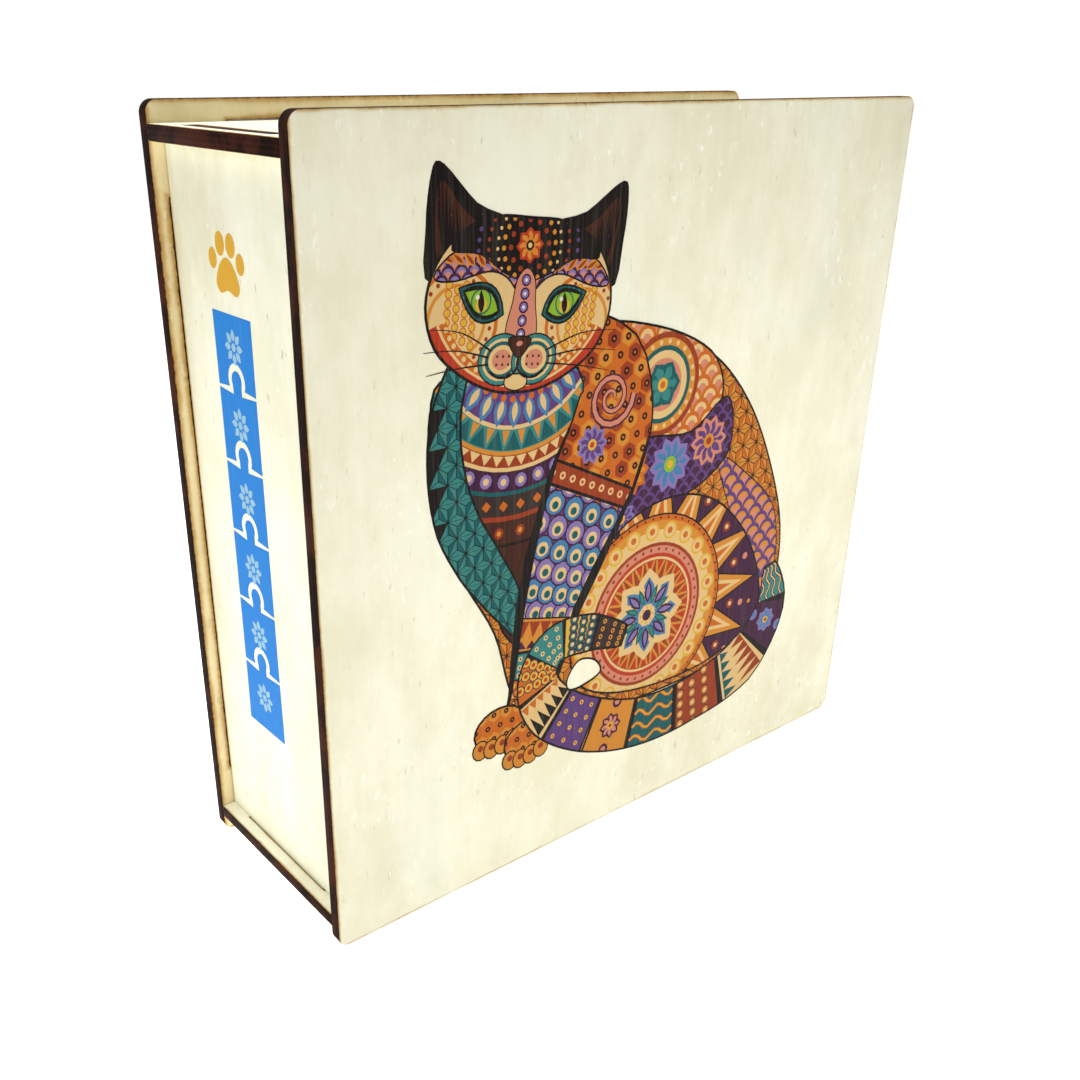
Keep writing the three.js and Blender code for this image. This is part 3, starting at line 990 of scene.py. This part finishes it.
brow = both(
    [(0, 12), (8, 9.6), (16, 8.4), (20.5, 4), (16, 3.6), (9, 5.4), (4.5, 4.5), (0, 1)], "purple", 0.35,
)
scales(brow, 1.5, ("plum", "lilac", "pink"))
for side in (-1, 1):
    for k in range(6):
        start = face(side * (5 + 2.3 * k), 5.4 + 0.2 * k)
        angle = math.radians(90 - side * (22 + 9 * k) - 7)
        leaves(brow, start, angle, (0, 4.2, 0.8, "amber"), (0.4, 3.2, 0.35, "rust"))

crown_heart = face(0, 10)
crown = both([(0, 14.4), (8, 14.2), (14.5, 11.8), (17.2, 8.6), (11, 8.2), (5, 5.2), (0, 4.0)], "black", 0.3)
for ring, count, size, ink in (
    (11.6, 40, 0.45, "purple"), (9.4, 34, 0.4, "rust"), (7.4, 26, 0.35, "cream"), (6.0, 20, 0.5, "amber"),
    (4.4, 12, 0.55, "rust"),
):
    ring_of(crown, crown_heart, ring, count, size, ink, 6)
flower(crown, crown_heart, 8, 3.2, ("red", "amber", "black", "cream"))

bridge = both([(0, 6), (2.0, 4), (2.6, 0), (3.6, -5), (2.6, -8.5), (0, -9)], "pink", 0.25)
for k in range(5):
    dots(bridge, face(0, 4 - 2.4 * k), (1.15, 10, "plum"), (0.8, 8, "lilac"), (0.35, 6, "white"))
print("head drawn,", len(layers), "outlines")

# %% [markdown]
# Eyes are nested lenses: a teal patch, a black rim, the green iris with its slit, and a highlight.

# %% Eyes, muzzle and whiskers
for side in (-1, 1):
    pupil = face(side * 9.9, 0.1)
    corner = face(side * 5.5, -1.7)
    tilt = math.atan2((pupil - corner).y, (pupil - corner).x)
    along, aside = toward(tilt), toward(tilt + math.pi / 2)
    patch = area(petal(corner, tilt, -0.8, 10.2, 3.2, 9), "teal", 0.4)
    for k in range(8):
        arch = 2.5 * math.sin(math.pi * (0.14 + k / 9.5))
        dots(patch, corner + along * (0.6 + 1.15 * k) + aside * arch, (0.3, 6, "sea"))
    eye = area(petal(corner, tilt, 0.6, 8.7, 2.1, 9), "green", 0.75)
    dots(eye, pupil, (2.3, 20, "teal"), (2.0, 20, "green"))
    dots(eye, pupil - at(0, 0.6), (1.3, 14, "yellow"))
    fill(eye, [(petal(pupil - at(0, 2.1), math.pi / 2, 0, 4.2, 0.7, 6), "black")])
    dots(eye, pupil + at(-0.8, 0.8), (0.45, 8, "white"))

for side in (-1, 1):
    pad = face(side * 3.9, -10.2)
    muzzle = area(disc(pad, 5.3, 24, 0, 0.86), "sea", 0.3)
    for ring, ink in ((4.5, "cream"), (3.9, "teal"), (3.1, "cream"), (2.2, "pink")):
        fill(muzzle, [(disc(pad, ring, 20, 0, 0.86), ink)])
    for k in range(6):
        dots(muzzle, face(side * (2.2 + 1.4 * (k % 3)), -9.6 - 1.5 * (k // 3)), (0.3, 6, "brown"))
both([(0, -13), (2.2, -13.2), (2.4, -15), (0, -15.8)], "cream", 0.3)
nose = flap(1, ((-2.6, -6.6), (0, -6.1), (2.6, -6.6), (1.2, -8.9), (0, -9.7), (-1.2, -8.9)), "brown", 0.3)
fill(nose, [(disc(face(0, -7.3), 0.8, 8, 0, 0.6), "pink")])

WHISKERS = 3
for side, tip in ((-1, 20.5), (1, 24)):
    lip = ((0, -9.6), (0, -11.6), (1.8, -13.3), (4.6, -13.4), (6.4, -12.2))
    mouth = spline([face(side * a, b) for a, b in lip], 4, False)
    layers.append((stroke(mouth, 0.5), "black", None))
    for k in range(WHISKERS):
        root = at(6.5 if k == 0 else 6.9, -8.6 - 1.2 * k)
        end = at(tip + k % 2, -4.8 - 4.0 * k)
        bend = (root + end) / 2 + at(0, 1.3 - 0.5 * k)
        whisker = spline([face(side * p.x, p.y) for p in (root, bend, end)], 5, False)
        widths = [0.42 * (1 - 0.75 * j / (len(whisker) - 1)) for j in range(len(whisker))]
        layers.append((stroke(whisker, widths), "black", None))
print("cat drawn with", len(layers), "outlines")

# %% [markdown]
# ## From layers to one inked skin
# Stacking thousands of paper-thin shapes would make them flicker where they touch. Instead a
# constrained Delaunay triangulation cuts the whole drawing into triangles along every outline, and
# reports which outlines cover each one. The topmost area wins, then the topmost shape that belongs to
# it. Most of those cuts end up inside one ink, so the edges where the ink changes are picked out and
# triangulated again on their own, which leaves far fewer triangles. The primitives and edit tools
# can't make such a skin, so it is built from its vertices.


# %% Flatten the drawing
def paint_order(drawing, tidy=0.015):
    """Cuts the layers into triangles and gives each the ink that shows."""
    points, outlines, numbers = [], [], []
    for number, (outline, ink, owner) in enumerate(drawing):
        kept = [p for p, q in zip(outline, outline[1:] + outline[:1]) if (p - q).length > tidy]
        if len(kept) > 2:
            if area_of(kept) < 0:
                kept.reverse()
            outlines.append(list(range(len(points), len(points) + len(kept))))
            numbers.append(number)
            points += kept
    corners, _, faces, _, _, covers = geometry.delaunay_2d_cdt(points, [], outlines, 1, tidy / 3)
    inked = []
    for triangle, cover in zip(faces, covers):
        over = [numbers[i] for i in cover]
        areas = [i for i in over if drawing[i][2] is None]
        if areas:
            top = max(areas)
            top = max([i for i in over if drawing[i][2] == top], default=top)
            if drawing[top][1]:
                inked.append((triangle, drawing[top][1]))
    return corners, inked


def ink_borders(inked):
    """The edges where the ink changes, as (start, end, ink on the left, ink on the right)."""
    left_of = {}
    for (a, b, c), ink in inked:
        left_of[a, b] = left_of[b, c] = left_of[c, a] = ink
    return [(a, b, ink, left_of.get((b, a))) for (a, b), ink in left_of.items()
            if left_of.get((b, a)) != ink and (a < b or (b, a) not in left_of)]


def recut(corners, borders):
    """Triangulates again with only these borders, and carries the inks in from them."""
    used = sorted({i for border in borders for i in border[:2]})
    order = {old: new for new, old in enumerate(used)}
    edges = [(order[a], order[b]) for a, b, _, _ in borders]
    cut = geometry.delaunay_2d_cdt([corners[i] for i in used], edges, [], 0, 0.0005)
    points, made_edges, faces, _, sources, _ = cut
    left_of = {}
    for (i, j), source in zip(made_edges, sources):
        if source:
            start, end, left, right = borders[source[0]]
            if (points[j] - points[i]).dot(corners[end] - corners[start]) < 0:
                i, j = j, i
            left_of[i, j], left_of[j, i] = left, right
    owner = {(tri[k], tri[(k + 1) % 3]): number for number, tri in enumerate(faces) for k in range(3)}
    found = {}
    waiting = [(owner[edge], ink) for edge, ink in left_of.items() if edge in owner]
    while waiting:
        number, ink = waiting.pop()
        if number not in found:
            found[number] = ink
            tri = faces[number]
            for k in range(3):
                edge = (tri[k], tri[(k + 1) % 3])
                if edge not in left_of and edge[::-1] in owner:
                    waiting.append((owner[edge[::-1]], ink))
    return points, [(faces[number], ink) for number, ink in found.items() if ink]


def flatten(drawing):
    """The front of a skin, its back and the points of both."""
    corners, inked = paint_order(drawing)
    points, front = recut(corners, ink_borders(inked))
    rim = [(a, b, "black", None) if left else (a, b, None, "black")
           for a, b, left, right in ink_borders(front) if not (left and right)]
    back_points, back = recut(points, rim)
    return points, front, back_points, back


def print_skin(name, flat, thickness, to_space):
    """A closed skin of ink. to_space places a point of the drawing, at a height, over the board's face."""
    points, front, back_points, back = flat
    corners = [to_space(p, thickness) for p in points] + [to_space(p, 0.0) for p in back_points]
    behind = {tuple(p): number + len(points) for number, p in enumerate(back_points)}
    faces = [triangle for triangle, ink in front]
    faces += [[i + len(points) for i in triangle[::-1]] for triangle, ink in back]
    inks = [ink for triangle, ink in front] + ["black"] * len(back)
    for a, b, left, right in ink_borders(front):
        if left is None or right is None:
            if left is None:
                a, b = b, a
            faces.append([b, a, behind[tuple(points[a])], behind[tuple(points[b])]])
            inks.append(left or right)
    mesh = bpy.data.meshes.new(name)
    mesh.from_pydata(corners, [], faces)
    ink_layer = mesh.color_attributes.new("Ink", "FLOAT_COLOR", "CORNER")
    shades = {ink: srgb(*rgb) for ink, rgb in INKS.items()}
    colours = []
    for corner_numbers, ink in zip(faces, inks):
        colours += shades[ink] * len(corner_numbers)
    ink_layer.data.foreach_set("color", colours)
    skin = bpy.data.objects.new(name, mesh)
    bpy.context.scene.collection.objects.link(skin)
    select_only(skin)
    bpy.ops.object.mode_set(mode="EDIT")
    bpy.ops.mesh.select_all(action="SELECT")
    bpy.ops.mesh.delete_loose()
    bpy.ops.mesh.select_all(action="SELECT")
    bpy.ops.mesh.normals_make_consistent(inside=False)
    bpy.ops.object.mode_set(mode="OBJECT")
    return skin


cat = flatten(layers)
print("cat cut into", len(cat[1]), "triangles in front and", len(cat[3]), "behind")

# %% [markdown]
# ## Ink on wood
# The picture is sprayed straight onto the bare veneer, so the grain dulls it a little, pale specks of
# wood show through, and the ink is only slightly glossier than the board.

# %% Ink material
ink_material, tree, surface = new_material("printed_ink", Specular_IOR_Level=0.08)
ink_place = add(tree, "ShaderNodeTexCoord").outputs["Object"]
ink_colour = add(tree, "ShaderNodeAttribute", {"attribute_name": "Ink"}).outputs["Color"]
ink_colour = blend_colours(tree, 1.0, ink_colour, srgb(218, 216, 212), "MULTIPLY")
grain_show = noise_at(tree, ink_place, 1400, LONG_GRAIN, detail=4)
bare = noise_at(tree, ink_place, 2100, (1, 1, 0.4), detail=2)
dulled = blend_colours(tree, fade(tree, grain_show, 0.42, 0.75, 0.0, 0.03), ink_colour, srgb(250, 240, 205))
dulled = blend_colours(tree, fade(tree, bare, 0.72, 0.80, 0.0, 0.12), dulled, srgb(240, 226, 190))
feed(tree, surface.inputs["Base Color"], dulled)
feed(tree, surface.inputs["Roughness"], fade(tree, grain_show, 0.3, 0.7, 0.42, 0.58))
ink_bump = add(tree, "ShaderNodeBump", Height=grain_show, Strength=0.25, Distance=0.08 * MM)
feed(tree, surface.inputs["Normal"], ink_bump.outputs[0])

INK_THICKNESS = 0.06 * MM
cover_print = print_skin(
    "cover_print", cat, INK_THICKNESS,
    lambda p, up: (cover_low.x + p.x * MM, cover_low.y - up, cover_low.z + p.y * MM),
)
cover_print.data.materials.append(ink_material)
stand_for(cover_print, "lid", "picture_plywood")
print("cover print", len(cover_print.data.polygons), "faces")

# %% [markdown]
# ## The side wall's print
# The left wall carries a blue strip of interlocking puzzle pieces below an orange paw print, as plain
# decoration. The wall is drawn lying on its side: u runs along its height and v across it.

# %% Side print
side_low, side_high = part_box("left_wall")
STRIP_START, STRIP_PIECE, STRIP_COUNT, STRIP_HALF = 36.0, 14.6, 6, 7.8
KNOB_RADIUS, KNOB_OFFSET, KNOB_STEPS = 2.6, 2.0, 14
side_layers = []


def strip_piece(low, socket, knob):
    """A piece of the strip, which may have a socket in its lower end and a knob on its upper one."""
    high = low + STRIP_PIECE
    first = math.pi + math.asin(KNOB_OFFSET / KNOB_RADIUS)
    sweep = [first - (2 * first - math.pi) * k / KNOB_STEPS for k in range(KNOB_STEPS + 1)]
    knob_arc = [at(0, KNOB_OFFSET) + toward(angle) * KNOB_RADIUS for angle in sweep]
    bottom = [at(p.x, low + p.y) for p in knob_arc] if socket else []
    top = [at(-p.x, high + p.y) for p in knob_arc] if knob else []
    lower_end = [at(-STRIP_HALF, low), *bottom, at(STRIP_HALF, low)]
    upper_end = [at(STRIP_HALF, high), *top, at(-STRIP_HALF, high)]
    return lower_end + upper_end


for number in range(STRIP_COUNT):
    low = STRIP_START + number * STRIP_PIECE
    outline = strip_piece(low, number > 0, number < STRIP_COUNT - 1)
    side_layers.append((widened(outline, -0.7), "blue", None))
    centre = at(0, low + STRIP_PIECE / 2 + 0.9)
    for angle in around(8):
        side_layers.append((petal(centre, angle, 1.1, 3.4, 0.75, 4), "pale blue", None))
    side_layers.append((disc(centre, 0.8, 12), "pale blue", None))

paw_middle = at(0, STRIP_START + STRIP_COUNT * STRIP_PIECE + 6.4)
right_pad = ((0, 3.0), (2.6, 1.6), (4.4, -1.6), (3.0, -3.4), (0, -2.7))
pad = right_pad + tuple((-a, b) for a, b in right_pad[-2:0:-1])
side_layers.append((spline([paw_middle + at(a, b) for a, b in pad], 5), "paw orange", None))
for a, b, size in ((-5.2, 2.4, 1.5), (-2.0, 5.2, 1.7), (2.0, 5.2, 1.7), (5.2, 2.4, 1.5)):
    side_layers.append((disc(paw_middle + at(a, b), size, 16, 0, 1.25), "paw orange", None))

INKS.update({"blue": (14, 150, 255), "pale blue": (176, 226, 255), "paw orange": (255, 196, 54)})
PRINT_SHIFT = 3.2 * MM
PRINT_MIDDLE = (side_low.y + side_high.y - PLY) / 2 + PRINT_SHIFT
side_print = print_skin(
    "side_print", flatten(side_layers), INK_THICKNESS,
    lambda p, up: (side_low.x - up, PRINT_MIDDLE - p.x * MM, p.y * MM),
)
side_print.data.materials.append(ink_material)
stand_for(side_print, "case", "plywood")
print("side print", len(side_print.data.polygons), "faces")

# %% [markdown]
# ## The jigsaw pieces
# Each piece in the bag is cut from a printed board, so one face is coloured, the other is bare wood
# and the edges are burnt. A piece leans its own way, so its material first turns the Object
# coordinates into the piece's own directions with a Mapping node. The picture on it is a mosaic of
# cells, as on the cover.

# %% Piece finish
mosaic, given, made = new_group(
    "Printed mosaic", [("Vector", VECTOR), ("Shift", FLOAT)], [("Colour", COLOUR)],
)
moved = add(mosaic, "ShaderNodeVectorMath", {"operation": "ADD"})
feed(mosaic, moved.inputs[0], given["Vector"])
offset = add(mosaic, "ShaderNodeCombineXYZ", X=given["Shift"], Y=0.0, Z=given["Shift"])
feed(mosaic, moved.inputs[1], offset.outputs[0])
cells = add(mosaic, "ShaderNodeTexVoronoi", Vector=moved.outputs[0], Scale=260.0)
rims = add(
    mosaic, "ShaderNodeTexVoronoi", {"feature": "DISTANCE_TO_EDGE"}, Vector=moved.outputs[0], Scale=260.0,
)
choice = add(mosaic, "ShaderNodeSeparateColor")
feed(mosaic, choice.inputs[0], cells.outputs["Color"])
palette = add(mosaic, "ShaderNodeValToRGB")
palette.color_ramp.interpolation = "CONSTANT"
ramp_inks = ("orange", "amber", "teal", "plum", "cream", "rust", "sea", "purple", "yellow", "lilac")
for k, ink in enumerate(ramp_inks):
    stop = palette.color_ramp.elements[k] if k < 2 else palette.color_ramp.elements.new(k / len(ramp_inks))
    stop.position = k / len(ramp_inks)
    stop.color = srgb(*INKS[ink])
feed(mosaic, palette.inputs[0], choice.outputs[0])
rings = maths(mosaic, "SINE", maths(mosaic, "MULTIPLY", cells.outputs["Distance"], 34.0))
ring_mask = fade(mosaic, rings, 0.1, 0.5, 0.0, 0.55)
ringed = blend_colours(mosaic, ring_mask, palette.outputs[0], srgb(*INKS["cream"]))
rim_mask = fade(mosaic, rims.outputs["Distance"], 0.03, 0.06)
mosaic.links.new(blend_colours(mosaic, rim_mask, srgb(*INKS["black"]), ringed), made["Colour"])


def own_directions(node):
    """The middle of a flat piece and the rotation that turns its face to look along -Y."""
    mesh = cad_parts[node].data
    middle = sum((v.co for v in mesh.vertices), Vector()) / len(mesh.vertices)
    widest = max(mesh.polygons, key=lambda p: p.area)
    normal = widest.normal.copy()
    if normal.y > 0:
        normal = -normal
    return middle, normal.rotation_difference(Vector((0, -1, 0))).to_matrix()


def piece_material(node, number):
    middle, turn = own_directions(node)
    material, tree, surface = new_material("picture_" + node, Specular_IOR_Level=0.3)
    place = add(tree, "ShaderNodeTexCoord").outputs["Object"]
    turned = add(tree, "ShaderNodeMapping", {"vector_type": "TEXTURE"}, Vector=place)
    turned.inputs["Location"].default_value = middle
    turned.inputs["Rotation"].default_value = turn.transposed().to_euler()
    parts = add(tree, "ShaderNodeSeparateXYZ", Vector=turned.outputs[0]).outputs
    picture = use_group(tree, mosaic, Vector=turned.outputs[0], Shift=0.037 * number).outputs["Colour"]
    wood = use_group(
        tree, veneer, Vector=turned.outputs[0], Pale=srgb(246, 238, 208), Deep=srgb(222, 206, 166),
    ).outputs
    printed_side = maths(tree, "LESS_THAN" if number % 3 else "GREATER_THAN", parts["Y"], 0.0)
    face_colour = blend_colours(tree, printed_side, wood["Colour"], picture)
    burn = use_group(
        tree, scorch, Vector=turned.outputs[0], Distance=1.0, Through=parts["Y"], Half_Ply=PLY / 2,
        Reach=0.5 * MM, Face_Colour=face_colour, Face_Roughness=wood["Roughness"],
    ).outputs
    feed(tree, surface.inputs["Base Color"], burn["Colour"])
    feed(tree, surface.inputs["Roughness"], burn["Roughness"])
    bump = add(tree, "ShaderNodeBump", Height=wood["Height"], Strength=0.3, Distance=0.08 * MM)
    feed(tree, surface.inputs["Normal"], bump.outputs[0])
    return material


pieces = sorted(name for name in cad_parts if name.startswith("puzzle_piece_"))
for number, node in enumerate(pieces):
    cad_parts[node].data.materials.clear()
    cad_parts[node].data.materials.append(piece_material(node, number))
print(len(pieces), "pieces finished")

# %% [markdown]
# ## The bag
# The film is clear, thin and glossy, and it creases where it is pulled over the pieces: short creases
# run in from the seams. The frame's film is copied, subdivided until it can hold creases, and pushed
# outwards a little by waves and noise. Cloth simulation would give creases too, but the bag shows only
# as the lid comes off, and waves are quicker and always the same.

# %% Film
film_material, tree, surface = new_material("clear_film", Roughness=0.12, IOR=1.45, Specular_IOR_Level=0.6)
film_place = add(tree, "ShaderNodeTexCoord").outputs["Object"]
# The film grows more opaque and white towards glancing angles: a painted reflection of the bright studio,
# on top of the film's own gloss.
painted_reflection_facing = add(tree, "ShaderNodeLayerWeight", Blend=0.35).outputs["Facing"]
feed(tree, surface.inputs["Alpha"], fade(tree, painted_reflection_facing, 0.0, 1.0, 0.10, 0.62))
haze = noise_at(tree, film_place, 60, detail=3)
cloudy = blend_colours(tree, haze, srgb(236, 242, 246), srgb(255, 255, 255))
feed(tree, surface.inputs["Base Color"], cloudy)
creases = noise_at(tree, film_place, 170, (1, 1, 0.5), detail=4)
film_bump = add(tree, "ShaderNodeBump", Height=creases, Strength=0.5, Distance=0.6 * MM)
feed(tree, surface.inputs["Normal"], film_bump.outputs[0])

rail_low, rail_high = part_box("zip_rail_front")
POCKET_HALF = (rail_high.x - rail_low.x) / 2


def crease(point, side):
    """How far the film is pushed outwards here."""
    from_side = 1 - min(1.0, abs(point.x) / POCKET_HALF)
    wave = math.sin(point.z / MM * 0.9 + 2.2 * noise.noise(point * 40)) * math.exp(-from_side / 0.10)
    folds = noise.noise(Vector((point.x * 70, side, point.z * 45)))
    return (0.35 + 0.35 * wave + 0.5 * max(0.0, folds)) * MM * min(1.0, from_side / 0.03)


for word, side in (("front", -1), ("back", 1)):
    film = copy_node("bag_" + word + "_film", "bag_" + word + "_sheet")
    select_only(film)
    bpy.ops.object.mode_set(mode="EDIT")
    bpy.ops.mesh.select_all(action="SELECT")
    bpy.ops.mesh.subdivide(number_cuts=3)
    bpy.ops.object.mode_set(mode="OBJECT")
    for vertex in film.data.vertices:
        vertex.co.y += side * crease(vertex.co, side)
    bpy.ops.object.shade_smooth_by_angle(angle=math.radians(50))
    film.data.materials.append(film_material)
    stand_for(film, "bag", "clear_film", "bag_" + word + "_film")
    print(film.name, len(film.data.polygons), "faces")

# %% [markdown]
# The zip's two rails are clear ribbed strips. An inset face, pushed in, leaves a rib along each edge.

# %% Zip rails
RIB_WIDTH, RIB_HEIGHT = 0.7 * MM, 0.35 * MM
zip_material, tree, surface = new_material("zip_plastic", Roughness=0.22, IOR=1.46, Alpha=0.72)
zip_place = add(tree, "ShaderNodeTexCoord").outputs["Object"]
zip_cloud = noise_at(tree, zip_place, 240, (0.3, 1, 1), detail=3)
cloudy = blend_colours(tree, zip_cloud, srgb(214, 226, 236), srgb(246, 250, 252))
feed(tree, surface.inputs["Base Color"], cloudy)
feed(tree, surface.inputs["Roughness"], fade(tree, zip_cloud, 0.3, 0.7, 0.16, 0.3))
for word, side in (("front", -1), ("back", 1)):
    rail = copy_node("zip_rail_" + word, "zip_" + word + "_strip")
    select_only(rail)
    bpy.ops.object.mode_set(mode="EDIT")
    bpy.ops.mesh.select_mode(type="FACE")
    bpy.ops.mesh.select_all(action="DESELECT")
    net = bmesh.from_edit_mesh(rail.data)
    for polygon in net.faces:
        polygon.select_set(polygon.normal.y * side > 0.9)
    bmesh.update_edit_mesh(rail.data)
    bpy.ops.mesh.inset(thickness=RIB_WIDTH)
    bpy.ops.transform.translate(value=(0, -side * RIB_HEIGHT, 0))
    bpy.ops.object.mode_set(mode="OBJECT")
    apply_bevel(rail, 0.1 * MM)
    rail.data.materials.append(zip_material)
    stand_for(rail, "bag", "zip_plastic", "zip_rail_" + word)
    print(rail.name, len(rail.data.polygons), "faces")

# %% [markdown]
# ## The picture card
# A coated card shows the finished picture inside a thin frame line. The same drawing is used again,
# at a smaller size.

# %% Card
FRAME_INSET, FRAME_LINE = 4 * MM, 1 * MM
CARD_INK_THICKNESS = 0.02 * MM
card_low, card_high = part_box("picture_card")
card_material, tree, surface = new_material(
    "coated_card", Coat_Weight=0.25, Coat_Roughness=0.2, Roughness=0.4,
)
card_place = add(tree, "ShaderNodeTexCoord").outputs["Object"]
card_parts = add(tree, "ShaderNodeSeparateXYZ", Vector=card_place).outputs
card_middle, card_half = (card_low + card_high) / 2, (card_high - card_low) / 2
card_edge = use_group(
    tree, cut_distance, U=card_parts["X"], V=card_parts["Z"], Middle_U=card_middle.x,
    Middle_V=card_middle.z, Half_U=card_half.x, Half_V=card_half.z,
).outputs["Distance"]
from_line = maths(tree, "ABSOLUTE", maths(tree, "SUBTRACT", card_edge, FRAME_INSET))
frame_line = maths(tree, "LESS_THAN", from_line, FRAME_LINE / 2)
mottled = noise_at(tree, card_place, 300, detail=4)
paper = blend_colours(tree, mottled, srgb(250, 248, 240), srgb(236, 232, 220))
feed(tree, surface.inputs["Base Color"], blend_colours(tree, frame_line, paper, srgb(*INKS["teal"])))
card = copy_node("picture_card", "coated_picture_card")
apply_bevel(card, 0.08 * MM)
card.data.materials.append(card_material)
stand_for(card, "card", "coated_card", "picture_card")

CARD_SCALE = 0.76
picture_middle = at(78.5, 83)
card_print = print_skin(
    "card_print", cat, CARD_INK_THICKNESS,
    lambda p, up: (card_middle.x + (p.x - picture_middle.x) * CARD_SCALE * MM, card_low.y - up,
                   card_middle.z + (p.y - picture_middle.y) * CARD_SCALE * MM),
)
card_print.data.materials.append(ink_material)
stand_for(card_print, "card", "coated_card")
print("card print", len(card_print.data.polygons), "faces")

# %% [markdown]
# ## Floor and light
# The case stands on a plain pale floor under a dim white sky. Two soft spots, one for the front and one
# for the side, are aimed low, so that both faces are brightest near the floor and a little dimmer at
# the top. A third lights the back, and a round panel overhead lights the top. The sky looks white to
# the camera without lighting the case any more for it. The floor glows a little, so it looks white
# too, and its glow also lights the case from below.

# %% Stage
bpy.ops.object.select_all(action="DESELECT")
bpy.ops.mesh.primitive_circle_add(vertices=96, radius=6.0, fill_type="NGON", location=(0, 0, 0))
floor = bpy.context.object
floor.name = "floor"
floor_material, tree, surface = new_material("pale_floor", Roughness=0.9, Specular_IOR_Level=0.1)
surface.inputs["Base Color"].default_value = srgb(246, 246, 244)
surface.inputs["Emission Color"].default_value = (1, 1, 1, 1)
surface.inputs["Emission Strength"].default_value = 0.84
floor.data.materials.append(floor_material)

world = bpy.data.worlds.new("studio")
bpy.context.scene.world = world
world.use_nodes = True
tree = world.node_tree
tree.nodes.clear()
seen = add(tree, "ShaderNodeLightPath").outputs["Is Camera Ray"]
lit = add(tree, "ShaderNodeBackground", Color=(1.0, 0.995, 0.985, 1), Strength=0.20)
shown = add(tree, "ShaderNodeBackground", Color=(1, 1, 1, 1), Strength=1.05)
sky = add(tree, "ShaderNodeMixShader", Fac=seen)
tree.links.new(lit.outputs[0], sky.inputs[1])
tree.links.new(shown.outputs[0], sky.inputs[2])
tree.links.new(sky.outputs[0], add(tree, "ShaderNodeOutputWorld").inputs["Surface"])


def aim(lamp, name, target):
    lamp.name = name
    lamp.rotation_euler = (Vector(target) - lamp.location).to_track_quat("-Z", "Y").to_euler()


def spot_lamp(name, location, target, cone, power):
    """A lamp whose soft cone dims towards its rim."""
    bpy.ops.object.select_all(action="DESELECT")
    bpy.ops.object.light_add(type="SPOT", location=location)
    lamp = bpy.context.object
    aim(lamp, name, target)
    lamp.data.spot_size = math.radians(cone)
    lamp.data.spot_blend = 1.0
    lamp.data.shadow_soft_size = 0.12
    lamp.data.energy = power


spot_lamp("front_lamp", (-0.05, -0.75, 0.03), (0.030, -0.027, 0.042), 20, 13.2)
spot_lamp("left_lamp", (-0.74, -0.03, 0.42), (-0.08, 0.0, 0.014), 20, 11.4)
spot_lamp("back_lamp", (0.55, 0.80, 0.45), (0.0, 0.0, 0.08), 40, 14.0)

bpy.ops.object.select_all(action="DESELECT")
bpy.ops.object.light_add(type="AREA", location=(0.0, 0.10, 0.9))
top_panel = bpy.context.object
aim(top_panel, "top_panel", (0, 0, 0.1))
top_panel.data.shape = "DISK"
top_panel.data.size = 0.7
top_panel.data.energy = 7.0

scene = bpy.context.scene
scene.view_settings.view_transform = "Standard"
scene.view_settings.look = "None"
scene.view_settings.exposure = 0.0
print("lights and floor ready")
